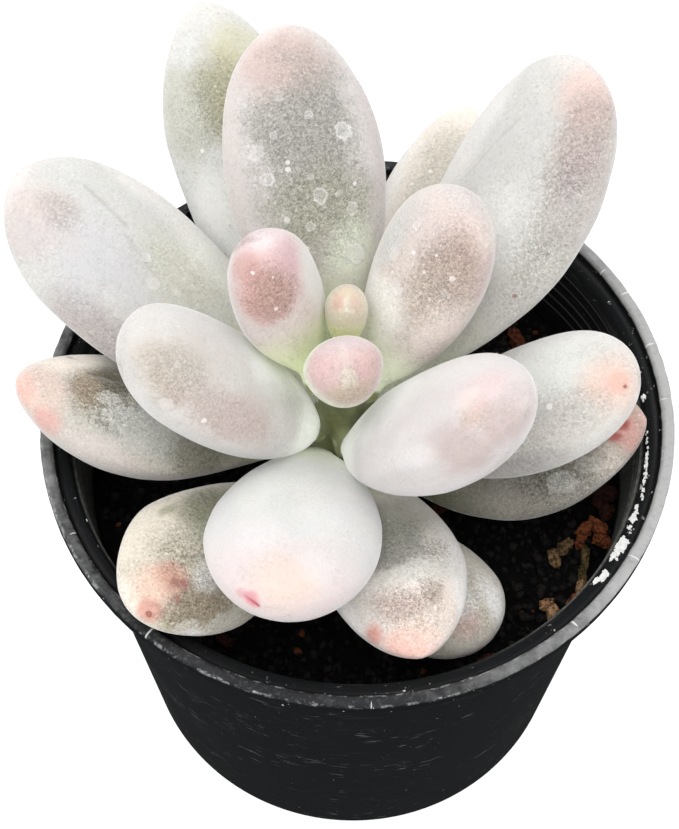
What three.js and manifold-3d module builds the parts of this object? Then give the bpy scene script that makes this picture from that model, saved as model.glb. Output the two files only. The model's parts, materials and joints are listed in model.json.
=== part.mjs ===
// A potted sweet dumpling pachyphytum: 18 plump leaves on one short stem, in a thin plastic nursery pot.
// Millimetres, +Z up, the origin at the centre of the underside of the pot.
import * as THREE from 'three';
import { mergeVertices } from 'three/addons/utils/BufferGeometryUtils.js';
import Module from 'manifold-3d';

const wasm = await Module();
wasm.setup();

// Driving dimensions
const GAP = 0.3; // clearance between pieces that touch
const SEED = 20;
const POT = { height: 70, rim: 40, neck: 37, foot: 32.5, wall: 0.95, floor: 1.4 };
const LIP = { width: 1.5, depth: 2.5, round: 0.3, bevel: 1.4 };
const POT_SIDES = 48;
const DRAIN = { count: 8, radius: 3, circle: 22, sides: 10 };
const LEDGES = { count: 3, first: 67.2, pitch: 1.9, drop: 0.2, top: 0.8 }; // inside the wall, under the lip
const SOIL = { top: 55.2, swell: 0.55, sides: 28, reach: 31, bits: 46, bark: 12, clearBelow: 64 };
const BARK = { reach: 30.5, spread: 4, turn: -30, fan: 42 }; // most of the bark lies at the right
const STEM = { foot: 46, soil: 56, top: 81, x: -2.6, y: -2.5, leanX: 0.8, leanY: 5, thick: 3.3, thin: 2.4 };
const STEM_SIDES = 14;
const SCAR = { radius: 1.3, depth: 0.3, first: 57.5, rise: 1.6, count: 5, turn: 137.5, start: 262 };
const LEAF = { upperShare: 0.42, edge: 1.15, neck: 1, neckRadius: 1.2, root: 0.2, sink: 1.5, blunt: 2.1 };
const MESHING = { large: { rings: 11, sides: 16 }, small: { rings: 7, sides: 12 }, smallLength: 15 };

// One entry a leaf. on: height on the stem; seat: where round the stem it grows; turn: where it points, both
// in degrees from +X towards +Y; rise: its slope at the stem; bend: how far it curves up towards the tip;
// roll: its twist; size: length, width and thickness; wide: where along it is widest; taper: 0.8 is a slim
// base, 2 a round one; blunt: how full its tip is.
const LEAVES = {
  leaf_rear_left: { on: 62, seat: 110, turn: 111, rise: 27,
    size: [58.5, 19.5, 12], wide: 0.69, taper: 1.05, blunt: 1.7 },
  leaf_rear_right: { on: 61, seat: 80, turn: 69, rise: 20, size: [47.5, 14, 9], wide: 0.66, blunt: 1.7 },
  leaf_left_tall: { on: 66.5, seat: 170, turn: 152, rise: 25, bend: 8,
    size: [48.5, 22, 11], wide: 0.65, taper: 1.4, blunt: 1.95 },
  leaf_right_tall: { on: 69, seat: 25, turn: 43.5, rise: 22, bend: 35, roll: 16,
    size: [51, 23.5, 12], wide: 0.61, taper: 0.8 },
  leaf_rear_tall: { on: 73, seat: 100, turn: 104, rise: 38, bend: 4,
    size: [43, 20, 12], wide: 0.59, taper: 1, blunt: 1.95 },
  leaf_left_low: { on: 62, seat: 180, turn: 185.5, rise: 15.5, bend: 22, roll: -12,
    size: [40, 17.5, 11], wide: 0.64, taper: 0.75, blunt: 1.7 },
  leaf_front_left: { on: 59.5, seat: 240, turn: 229, rise: 20.5, bend: 10, roll: 15,
    size: [37, 18.5, 9.5], wide: 0.67, taper: 0.75, blunt: 1.75 },
  leaf_front_small: { on: 58.5, seat: 285, turn: 307, rise: 7,
    size: [29.5, 15, 8], wide: 0.74, taper: 0.75, blunt: 2 },
  leaf_right_lowest: { on: 59.5, seat: 340, turn: 3.5, rise: 7, bend: 19,
    size: [37.5, 20.5, 10], wide: 0.55, taper: 0.75, blunt: 1.7 },
  leaf_right_low: { on: 61.5, seat: 345, turn: 358, rise: 34, bend: 7,
    size: [40, 18, 10.5], wide: 0.65, taper: 0.8, blunt: 2.15 },
  leaf_front_right: { on: 62.5, seat: 325, turn: 284.5, rise: 15,
    size: [33, 17.5, 10], wide: 0.59, taper: 0.85, blunt: 1.7 },
  leaf_front_middle: { on: 64, seat: 220, turn: 262.5, rise: 30.5,
    size: [34.5, 21, 12.5], wide: 0.61, taper: 1.35, blunt: 2 },
  leaf_left_middle: { on: 67.5, seat: 210, turn: 189, rise: 46.5, bend: 7,
    size: [33.5, 17, 12], wide: 0.54, taper: 1.8, blunt: 2.25 },
  leaf_right_middle: { on: 66.5, seat: 285, turn: 333, rise: 51.5,
    size: [36, 19.5, 12], taper: 1.45, blunt: 1.75 },
  leaf_right_upper: { on: 72, seat: 10, turn: 46, rise: 50.5, bend: 17,
    size: [30.5, 15, 11], wide: 0.62, taper: 1.15 },
  leaf_left_upper: { on: 74.5, seat: 190, turn: 139, rise: 56, bend: 23,
    size: [23.5, 12, 9.5], wide: 0.58, taper: 0.8, blunt: 2.4 },
  leaf_front_bud: { on: 79.5, seat: 250, turn: 287.5, rise: 60, bend: 2,
    size: [11.5, 9.5, 8.5], wide: 0.5, taper: 1.5, blunt: 2.35 },
  leaf_tip_bud: { on: 79.5, turn: 86, rise: 62.5, bend: 3,
    size: [9, 6, 5], wide: 0.62, taper: 1.4, blunt: 1.9 },
};

const COLOURS = {
  pot: 0x17181a,
  potting_mix: 0x201a16,
  stem: 0xa9ac86,
  leaf_rear_left: 0xd9dcd2,
  leaf_rear_right: 0xeee0d6,
  leaf_left_tall: 0xdcd9db,
  leaf_right_tall: 0xdcd6d7,
  leaf_rear_tall: 0xc9c5c2,
  leaf_left_low: 0xc6c0b8,
  leaf_front_left: 0xc9beb2,
  leaf_front_small: 0xb5b2ad,
  leaf_right_lowest: 0xaeaaa7,
  leaf_right_low: 0xd6d5d2,
  leaf_front_right: 0xc4bfb9,
  leaf_front_middle: 0xf2eeee,
  leaf_left_middle: 0xe6e0e3,
  leaf_right_middle: 0xf0e7e9,
  leaf_right_upper: 0xcfc0be,
  leaf_left_upper: 0xd3bfbe,
  leaf_front_bud: 0xe2c6c9,
  leaf_tip_bud: 0xe8cdb6,
};
const ROUGHNESS = { pot: 0.45, potting_mix: 0.95, stem: 0.7, leaf: 0.6 };

// A seeded random source, so that each build is the same.
function randomSource(seed) {
  let state = seed;
  return () => {
    state = (state + 0x6d2b79f5) | 0;
    let mixed = Math.imul(state ^ (state >>> 15), 1 | state);
    mixed = (mixed + Math.imul(mixed ^ (mixed >>> 7), 61 | mixed)) ^ mixed;
    return ((mixed ^ (mixed >>> 14)) >>> 0) / 4294967296;
  };
}

// Geometry to manifold solid and back
function toSolid(geometry) {
  const bare = geometry.index ? geometry.clone() : geometry;
  bare.deleteAttribute('normal');
  bare.deleteAttribute('uv');
  const merged = mergeVertices(bare, 1e-4);
  const vertProperties = new Float32Array(merged.attributes.position.array);
  const triVerts = new Uint32Array(merged.index.array);
  return new wasm.Manifold(new wasm.Mesh({ numProp: 3, vertProperties, triVerts }));
}

function toGeometry(solid) {
  const mesh = solid.getMesh();
  const geometry = new THREE.BufferGeometry();
  geometry.setAttribute('position', new THREE.BufferAttribute(new Float32Array(mesh.vertProperties), 3));
  geometry.setIndex(new THREE.BufferAttribute(new Uint32Array(mesh.triVerts), 1));
  geometry.computeVertexNormals();
  return geometry;
}

function largestPart(solid) {
  return solid.decompose().reduce((best, piece) => (piece.volume() > best.volume() ? piece : best));
}

// A closed skin through rings of points that run counter-clockwise about the way from first to last.
function loft(rings, firstPoint, lastPoint) {
  const sides = rings[0].length;
  const points = [...rings.flat(), firstPoint, lastPoint];
  const faces = [];
  for (let ring = 0; ring < rings.length - 1; ring++) {
    for (let side = 0; side < sides; side++) {
      const next = (side + 1) % sides;
      const [a, b] = [ring * sides + side, ring * sides + next];
      faces.push(a, b, b + sides, a, b + sides, a + sides);
    }
  }
  const lastRing = (rings.length - 1) * sides;
  for (let side = 0; side < sides; side++) {
    const next = (side + 1) % sides;
    faces.push(points.length - 2, next, side, points.length - 1, lastRing + side, lastRing + next);
  }
  const geometry = new THREE.BufferGeometry().setFromPoints(points);
  geometry.setIndex(faces);
  return geometry;
}

function levelRing(x, y, z, radius, sides) {
  return Array.from({ length: sides }, (_, side) => {
    const angle = (side / sides) * 2 * Math.PI;
    return new THREE.Vector3(x + radius * Math.cos(angle), y + radius * Math.sin(angle), z);
  });
}

// A solid of revolution about Z from [radius, height] pairs.
function turned(profile, sides) {
  const points = profile.map(([radius, height]) => new THREE.Vector2(radius, height));
  return toSolid(new THREE.LatheGeometry(points, sides).rotateX(Math.PI / 2));
}

// The pot
const neckHeight = POT.height - LIP.depth;
const mouthRadius = POT.rim - LIP.width;
const outerRadius = (z) => POT.foot + ((POT.neck - POT.foot) * z) / neckHeight;
const innerRadius = (z) => outerRadius(z) - POT.wall;

function potProfile() {
  const { height, rim, neck, foot, floor } = POT;
  const { round, bevel } = LIP;
  const outside = [[0, 0], [foot - 1, 0], [foot, 1], [neck, neckHeight], [rim - round, neckHeight]];
  const lip = [[rim, neckHeight + round], [rim, height - round], [rim - round, height]];
  const mouth = [[mouthRadius + round, height], [mouthRadius, height - round]];
  const throat = [[mouthRadius - round, height - bevel]];
  const ledges = [[innerRadius(LEDGES.first) + LEDGES.top, height - bevel - round]];
  for (let ledge = 0; ledge < LEDGES.count; ledge++) {
    const z = LEDGES.first - ledge * LEDGES.pitch;
    ledges.push([innerRadius(z) + LEDGES.drop, z], [innerRadius(z - LEDGES.drop), z - LEDGES.drop]);
  }
  return [...outside, ...lip, ...mouth, ...throat, ...ledges, [innerRadius(floor), floor], [0, floor]];
}

function makePot() {
  const holes = [];
  for (let hole = 0; hole < DRAIN.count; hole++) {
    const angle = (hole / DRAIN.count) * 2 * Math.PI;
    const drill = new THREE.CylinderGeometry(DRAIN.radius, DRAIN.radius, POT.floor * 3, DRAIN.sides);
    drill.rotateX(Math.PI / 2).translate(DRAIN.circle * Math.cos(angle), DRAIN.circle * Math.sin(angle), 0);
    holes.push(toSolid(drill));
  }
  return turned(potProfile(), POT_SIDES).subtract(wasm.Manifold.union(holes));
}

// What a leaf keeps clear of at the top of the pot
function lipClearance() {
  const low = SOIL.top;
  const top = POT.height + GAP;
  const [inside, outside] = [mouthRadius - GAP, POT.rim + GAP];
  const wall = [[innerRadius(low) - GAP, low], [outside, low], [outside, top], [inside, top]];
  const mouth = [[inside - LIP.round, POT.height - 1], [innerRadius(neckHeight) - GAP, neckHeight - 1]];
  return turned([...wall, ...mouth, wall[0]], POT_SIDES);
}

// The stem
function stemAt(z) {
  const share = (z - STEM.soil) / (STEM.top - STEM.soil);
  const lean = Math.max(share, 0);
  const radius = THREE.MathUtils.lerp(STEM.thick, STEM.thin, lean);
  return { x: STEM.x + STEM.leanX * lean, y: STEM.y + STEM.leanY * lean, radius };
}

function stemSolid(grow) {
  const heights = [STEM.foot - grow, STEM.soil, (STEM.soil + STEM.top) / 2, STEM.top - 0.9];
  const rings = heights.map((z) => {
    const { x, y, radius } = stemAt(z);
    return levelRing(x, y, z, radius + grow, STEM_SIDES);
  });
  const crown = stemAt(STEM.top);
  rings.push(levelRing(crown.x, crown.y, STEM.top - 0.25 + grow, crown.radius * 0.6 + grow, STEM_SIDES));
  const foot = new THREE.Vector3(STEM.x, STEM.y, STEM.foot - grow);
  return toSolid(loft(rings, foot, new THREE.Vector3(crown.x, crown.y, STEM.top + grow)));
}

// Shallow round marks where old leaves have dropped off
function stemScars() {
  const marks = [];
  for (let scar = 0; scar < SCAR.count; scar++) {
    const z = SCAR.first + scar * SCAR.rise;
    const angle = THREE.MathUtils.degToRad(SCAR.start + scar * SCAR.turn);
    const { x, y, radius } = stemAt(z);
    const reach = radius + SCAR.radius - SCAR.depth;
    const ball = new THREE.SphereGeometry(SCAR.radius, 8, 6);
    marks.push(toSolid(ball.translate(x + reach * Math.cos(angle), y + reach * Math.sin(angle), z)));
  }
  return wasm.Manifold.union(marks);
}

// The leaves
function leafShare(along, wide, taper, blunt) {
  if (along < wide) return (1 - (1 - along / wide) ** 2) ** (1 / taper);
  return (1 - ((along - wide) / (1 - wide)) ** blunt) ** (1 / blunt);
}

function leafFrame({ on, seat, turn, rise, roll = 0 }) {
  const [heading, slope] = [THREE.MathUtils.degToRad(turn), THREE.MathUtils.degToRad(rise)];
  const [cosTurn, sinTurn] = [Math.cos(heading), Math.sin(heading)];
  const along = new THREE.Vector3(Math.cos(slope) * cosTurn, Math.cos(slope) * sinTurn, Math.sin(slope));
  const upper = new THREE.Vector3(-Math.sin(slope) * cosTurn, -Math.sin(slope) * sinTurn, Math.cos(slope));
  upper.applyAxisAngle(along, -THREE.MathUtils.degToRad(roll));
  const across = upper.clone().cross(along);
  const { x, y, radius } = stemAt(on);
  const root = new THREE.Vector3(x, y, on);
  if (seat !== undefined) {
    const side = THREE.MathUtils.degToRad(seat);
    root.add(new THREE.Vector3(Math.cos(side), Math.sin(side), 0).multiplyScalar(radius + LEAF.root));
  }
  return { along, upper, across, root };
}

function leafSolid(leaf, grow = 0) {
  const { size: [length, width, thick], bend = 0, wide = 0.6, taper = 1.3, blunt = LEAF.blunt } = leaf;
  const { along, upper, across, root } = leafFrame(leaf);
  const curve = Math.max(THREE.MathUtils.degToRad(bend), 1e-4);
  const spine = (share) => {
    const [forward, lift] = [Math.sin(curve * share) / curve, (1 - Math.cos(curve * share)) / curve];
    return root.clone().addScaledVector(along, forward * length).addScaledVector(upper, lift * length);
  };
  const { rings: ringCount, sides } = length > MESHING.smallLength ? MESHING.large : MESHING.small;
  const ring = (share, size) => {
    const lean = curve * share;
    const out = upper.clone().multiplyScalar(Math.cos(lean)).addScaledVector(along, -Math.sin(lean));
    const middle = spine(share);
    return Array.from({ length: sides }, (_, side) => {
      const angle = (side / sides) * 2 * Math.PI;
      const height = Math.sign(Math.sin(angle)) * Math.abs(Math.sin(angle)) ** LEAF.edge;
      const depth = (height > 0 ? LEAF.upperShare : 1 - LEAF.upperShare) * thick * size + grow;
      const reach = (width / 2) * size + grow;
      const point = middle.clone().addScaledVector(across, reach * Math.cos(angle));
      return point.addScaledVector(out, depth * height);
    });
  };
  const neckShare = LEAF.neck / length;
  const neckSize = (2 * LEAF.neckRadius) / width;
  const rings = [ring(-LEAF.sink / length, neckSize)];
  for (let step = 1; step < ringCount; step++) {
    const body = (1 - Math.cos((Math.PI * step) / ringCount)) / 2;
    const share = neckShare + (1 - neckShare) * body;
    rings.push(ring(share, Math.max(leafShare(body, wide, taper, blunt), body < 0.5 ? neckSize : 0)));
  }
  const tip = spine(1 + grow / length);
  return toSolid(loft(rings, spine(-LEAF.sink / length), tip));
}

// Leaves give way to the stem, the pot's lip and every leaf that grows above them.
function makeLeaves() {
  const names = Object.keys(LEAVES).sort((a, b) => LEAVES[a].on - LEAVES[b].on);
  const fixed = stemSolid(GAP).add(lipClearance());
  const solids = {};
  names.forEach((name, order) => {
    const above = names.slice(order + 1).map((other) => leafSolid(LEAVES[other], GAP));
    const clearance = wasm.Manifold.union([fixed, ...above]);
    solids[name] = largestPart(leafSolid(LEAVES[name]).subtract(clearance));
  });
  return solids;
}

// The potting mix
function soilHeight(x, y) {
  return SOIL.top + SOIL.swell * (Math.sin(x / 5 + 1) * Math.cos(y / 4) + 0.6 * Math.sin(y / 2.3 + x / 7));
}

function soilBed() {
  const floor = POT.floor + GAP;
  const edge = innerRadius(SOIL.top) - GAP;
  const rings = [levelRing(0, 0, floor, innerRadius(floor) - GAP, SOIL.sides)];
  for (const share of [1, 0.8, 0.6, 0.4, 0.2]) {
    const ring = levelRing(0, 0, SOIL.top, edge * share, SOIL.sides);
    const level = share === 1 ? () => SOIL.top - 1 : soilHeight;
    rings.push(ring.map(({ x, y }) => new THREE.Vector3(x, y, level(x, y))));
  }
  const centre = new THREE.Vector3(0, 0, soilHeight(0, 0));
  return toSolid(loft(rings, new THREE.Vector3(0, 0, floor), centre));
}

function soilBits(random) {
  const spread = (span) => (random() - 0.5) * span;
  const bits = [];
  for (let bit = 0; bit < SOIL.bits; bit++) {
    const [reach, angle] = [SOIL.reach * Math.sqrt(random()), random() * 2 * Math.PI];
    const size = 0.9 + 1.1 * random();
    const grain = new THREE.OctahedronGeometry(size).scale(1, 0.6 + 0.4 * random(), 0.7);
    grain.rotateX(spread(1.5)).rotateZ(random() * 6);
    const [x, y] = [reach * Math.cos(angle), reach * Math.sin(angle)];
    bits.push(toSolid(grain.translate(x, y, soilHeight(x, y))));
  }
  for (let chip = 0; chip < SOIL.bark; chip++) {
    const bark = new THREE.BoxGeometry(3 + 2.5 * random(), 1.4 + random(), 1);
    bark.rotateY(spread(0.7)).rotateZ(random() * 6);
    const angle = THREE.MathUtils.degToRad(BARK.turn + spread(BARK.fan));
    const reach = BARK.reach + spread(BARK.spread);
    const [x, y] = [reach * Math.cos(angle), reach * Math.sin(angle)];
    bits.push(toSolid(bark.translate(x, y, soilHeight(x, y) + 0.25)));
  }
  return bits;
}

function makeSoil() {
  const bed = wasm.Manifold.union([soilBed(), ...soilBits(randomSource(SEED))]);
  const lowLeaves = Object.values(LEAVES).filter(({ on }) => on < SOIL.clearBelow);
  const clearance = [stemSolid(GAP), ...lowLeaves.map((leaf) => leafSolid(leaf, GAP))];
  return largestPart(bed.subtract(wasm.Manifold.union(clearance)));
}

// The whole plant
function named(name, solid) {
  const roughness = ROUGHNESS[name] ?? ROUGHNESS.leaf;
  const material = new THREE.MeshStandardMaterial({ color: COLOURS[name], roughness, metalness: 0 });
  const mesh = new THREE.Mesh(toGeometry(solid), material);
  mesh.name = name;
  return mesh;
}

const leaves = makeLeaves();
const stem = stemSolid(0).subtract(stemScars());
const plant = new THREE.Group();
for (const [name, solid] of Object.entries({ pot: makePot(), potting_mix: makeSoil(), stem, ...leaves })) {
  plant.add(named(name, solid));
}

export default plant;
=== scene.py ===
"""A potted sweet dumpling pachyphytum: 18 plump powdery leaves on a short stem, in a thin black nursery pot.

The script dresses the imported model. Sizes are in millimetres and become metres where a mesh is made.
"""
import json
import math
import random
from types import SimpleNamespace

import bmesh
import bpy
from mathutils import Matrix, Vector, noise

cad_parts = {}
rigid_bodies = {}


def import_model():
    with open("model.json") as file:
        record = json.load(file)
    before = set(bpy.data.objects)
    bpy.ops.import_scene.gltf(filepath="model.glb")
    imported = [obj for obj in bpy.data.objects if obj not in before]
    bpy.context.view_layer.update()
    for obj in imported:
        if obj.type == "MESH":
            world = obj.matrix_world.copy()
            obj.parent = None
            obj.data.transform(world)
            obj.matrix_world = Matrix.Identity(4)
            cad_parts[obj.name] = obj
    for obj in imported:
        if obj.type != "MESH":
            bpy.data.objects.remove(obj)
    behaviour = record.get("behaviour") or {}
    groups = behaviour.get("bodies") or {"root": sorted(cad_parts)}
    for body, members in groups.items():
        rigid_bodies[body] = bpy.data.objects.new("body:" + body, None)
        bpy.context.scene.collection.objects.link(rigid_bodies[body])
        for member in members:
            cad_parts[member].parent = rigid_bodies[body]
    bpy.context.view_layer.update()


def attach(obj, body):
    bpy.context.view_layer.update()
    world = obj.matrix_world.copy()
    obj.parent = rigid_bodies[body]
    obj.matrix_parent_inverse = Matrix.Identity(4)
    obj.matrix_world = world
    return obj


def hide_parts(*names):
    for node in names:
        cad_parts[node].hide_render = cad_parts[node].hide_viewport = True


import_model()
BODY = "root"
MM = 0.001
SEED = 20

# The pot, as in the CAD
POT = {"height": 70, "rim": 40, "neck": 37, "foot": 32.5, "chamfer": 1, "wall": 0.95, "floor": 1.4}
LIP = {"width": 1.5, "depth": 2.5, "round": 0.3, "bevel": 1.4}
DRAIN = {"count": 8, "radius": 3, "circle": 22}
LEDGES = {"count": 3, "first": 67.2, "pitch": 1.9, "drop": 0.2, "top": 0.8}
# Painted highlight lines on the inner wall by its ledges: how many, and where the first is in ledge pitches
LEDGE_HIGHLIGHTS = {"count": 5, "start": 0.4}
SOIL_TOP = 55.2
STEM = {
    "foot": 46, "soil": 56, "top": 81, "closing": 1.2, "cap": 0.3, "x": -2.6, "y": -2.5,
    "lean_x": 0.8, "lean_y": 5, "thick": 3.3, "thin": 2.4, "uneven": 0.05,
    "lumps_round": 2.2, "lumps_up": 0.5,
}
LEAF_ROOT = 0.2
LEAF_SINK = 1.5
NECK = {"from": 0.5, "radius": 2.0, "share": 0.3, "green": (0.9, 1.7), "tint": "8f9468"}
UPPER_SHARE = 0.42
EDGE_POWER = 1.15
WIDEST = 0.6
TAPER = 1.3
BLUNT = 2.1
STRAIGHT = 0.001
SEED_STEP = 1.7

# One entry a leaf. on: height on the stem; seat: where round the stem it grows; turn: where it points, both
# in degrees from +X towards +Y; rise: its slope at the stem; bend: how far it curves up; roll: its twist;
# size: length, width and thickness; wide: where along it is widest; taper: 0.8 is a slim base, 2 a round
# one; blunt: how full the tip is.
LEAVES = {
    "leaf_rear_left": dict(on=62, seat=110, turn=111, rise=27,
        size=(58.5, 19.5, 12), wide=0.69, taper=1.05, blunt=1.7),
    "leaf_rear_right": dict(on=61, seat=80, turn=69, rise=20, size=(47.5, 14, 9), wide=0.66, blunt=1.7),
    "leaf_left_tall": dict(on=66.5, seat=170, turn=152, rise=25, bend=8,
        size=(48.5, 22, 11), wide=0.65, taper=1.4, blunt=1.95),
    "leaf_right_tall": dict(on=69, seat=25, turn=43.5, rise=22, bend=35, roll=16,
        size=(51, 23.5, 12), wide=0.61, taper=0.8),
    "leaf_rear_tall": dict(on=73, seat=100, turn=104, rise=38, bend=4,
        size=(43, 20, 12), wide=0.59, taper=1, blunt=1.95),
    "leaf_left_low": dict(on=62, seat=180, turn=185.5, rise=15.5, bend=22, roll=-12,
        size=(40, 17.5, 11), wide=0.64, taper=0.75, blunt=1.7),
    "leaf_front_left": dict(on=59.5, seat=240, turn=229, rise=20.5, bend=10, roll=15,
        size=(37, 18.5, 9.5), wide=0.67, taper=0.75, blunt=1.75),
    "leaf_front_small": dict(on=58.5, seat=285, turn=307, rise=7,
        size=(29.5, 15, 8), wide=0.74, taper=0.75, blunt=2),
    "leaf_right_lowest": dict(on=59.5, seat=340, turn=3.5, rise=7, bend=19,
        size=(37.5, 20.5, 10), wide=0.55, taper=0.75, blunt=1.7),
    "leaf_right_low": dict(on=61.5, seat=345, turn=358, rise=34, bend=7,
        size=(40, 18, 10.5), wide=0.65, taper=0.8, blunt=2.15),
    "leaf_front_right": dict(on=62.5, seat=325, turn=284.5, rise=15,
        size=(33, 17.5, 10), wide=0.59, taper=0.85, blunt=1.7),
    "leaf_front_middle": dict(on=64, seat=220, turn=262.5, rise=30.5,
        size=(34.5, 21, 12.5), wide=0.61, taper=1.35, blunt=2),
    "leaf_left_middle": dict(on=67.5, seat=210, turn=189, rise=46.5, bend=7,
        size=(33.5, 17, 12), wide=0.54, taper=1.8, blunt=2.25),
    "leaf_right_middle": dict(on=66.5, seat=285, turn=333, rise=51.5,
        size=(36, 19.5, 12), taper=1.45, blunt=1.75),
    "leaf_right_upper": dict(on=72, seat=10, turn=46, rise=50.5, bend=17,
        size=(30.5, 15, 11), wide=0.62, taper=1.15),
    "leaf_left_upper": dict(on=74.5, seat=190, turn=139, rise=56, bend=23,
        size=(23.5, 12, 9.5), wide=0.58, taper=0.8, blunt=2.4),
    "leaf_front_bud": dict(on=79.5, seat=250, turn=287.5, rise=60, bend=2,
        size=(11.5, 9.5, 8.5), wide=0.5, taper=1.5, blunt=2.35),
    "leaf_tip_bud": dict(on=79.5, turn=86, rise=62.5, bend=3,
        size=(9, 5.2, 5), wide=0.64, taper=1.3, blunt=2.2),
}

# What a leaf's mesh keeps for its skin: the place in the leaf's own millimetres, and 1 on top to -1 below
LEAF_PLACE = "leaf_place"
LEAF_SIDE = "leaf_side"

# Leaf detail: rings along and sides round a leaf; the tip's small point; how uneven the skin is
WELD = 0.0005
LEAF_DETAIL = {"large": (130, 113), "small": (70, 65), "small_length": 15}
NIB = {"radius": 0.7, "height": 0.08}
SWELL = 0.035
SWELL_SPAN = 11.0
PUCKER = 0.12
PUCKER_STRETCH = (0.07, 0.42, 0.42)

# The powder: how far apart its grains, clumps and clouds are, how strong they show, how bare the skin gets
GRAIN_SPAN = 0.33
GRAIN_CURL = 1.0
CLUMP_SPAN = 1.3
CLOUD_SPAN = 6.5
GRAIN_CONTRAST = 7.0
GRAIN_DEPTH = 2.6
GRAIN_FAINT = 0.05
GRAIN_RELIEF = 0.12
WRINKLE_STRETCH = (0.2, 1.1, 1.1)
STREAK_STRETCH = (0.08, 0.3, 0.3)
UNDERSIDE = (-0.55, -0.9)
SPECK = {"apart": 1.3, "radius": 0.15, "usual_share": 0.1}
BARE = (0.04, 1.0)
COVER = (0.0, 1.15)
# The painted glow of the leaves near the stem: emission that paints light into the shade among the leaves
ROOT_PAINTED_GLOW = 0.14
CLOUD_SHADE = 0.93
CLOUD_RAMP = (0.16, -0.12)
TIP = {"powder": 0.9, "flesh": 0.7}
PATCH = {"wander": 1.2, "edge": (1.35, 0.45)}
MARKS = {"pit": 0.7, "rust": 0.7, "ring": 0.4, "disc": 0.2, "spot": 0.6}
FLESH_SHADE = 0.62

# Pot, stem and mix detail
POT_DETAIL = {"sides": 256, "corner": 0.35, "arc": 4, "step": 3.0, "hold": 0.2}
POT_WEAR = {"wave": 0.12, "nick": 0.16, "proud": 0.02, "nicks_round": 42, "nicks_up": 1.4}
STREAKS = (0.12, 2.0, 3.2)
DASHES = (0.3, 1.0, 3.6)
PLASTIC = {
    "black": "090b0d", "dusty": "191b1d", "streak": "4c4d50", "scratch": "7c7e81",
    # The inner wall's painted grey reflection and painted highlight lines, and the white of the shoulder's
    # patches
    "inner_reflection": ("4a4b49", "767772"), "ledge_highlight": "66696c", "lime": "dededb",
    # The lip's two greys carry its scuffs and a painted reflection; then its dust, the flecks and nicks on
    # its edges, and specks
    "lip": ("1d1e20", "aeafae"), "lip_dust": "6c6e70", "edge": "a9aaab", "nick": "e4e4e4", "speck": "b9b9b7",
}
# Where the pot is scratched, has its painted reflection inside and its white patches on the shoulder:
# each from where it begins to where it is full
WORN = {
    "scratched": (69, 66), "inside": (-0.3, -0.7), "reflection_height": (48, 57), "reflection_top": (67.7, 67.2),
    "reflection_right": (12, 30), "reflection_left": (-22, -32), "reflection_front": (18, -4),
    "flecks_height": (67.8, 68.1), "flecks_right": (24, 30), "flecks_front": (0, -4),
}
STEM_DETAIL = {"sides": 128, "rings": 160}
SEAT = {"bulge": 1.5, "narrow": 12, "tall": 1.8, "most": 1.6, "reach": 6}
SCAR = {"turn": -82, "height": 67.6, "radius": 1.15, "width": 0.22, "ridge": 0.3, "reach": 3}
TONE = "tone"
MIX = {"sides": 240, "rings": 80, "gap": 0.15, "skirt": 1.5, "levels": (0.25, 0.5, 0.75), "reach": 34.5}
# The mix's own roughness, coarse and fine: its scale, how it fades and its depth
MIX_ROUGHNESS = [(0.35, 1.0, 0.7), (1.3, 0.8, 0.35)]
LUMP = {"scale": 3.1, "rough": 0.7, "slim": 0.25, "flatness": (0.9, 0.7, 0.5, 0.8)}
ANY_TURN = (6.3, 6.3, 6.3)
# What lies loose on the mix: the piece, its finish with a dark and a light colour, how many lumps there are
# to a square millimetre, and their smallest and largest size
CRUMBS = [
    ("mix_crumbs", "dark_crumbs", "030303", "211f1d", 0.9, 0.5, 1.6),
    ("brown_bits", "brown_bits", "3a2013", "6d4022", 0.02, 0.5, 1.5),
    ("white_grains", "white_grains", "5c5e60", "b4b4b2", 0.01, 0.25, 0.6),
]
FIRST_CRUMB_SEED = 4
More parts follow.
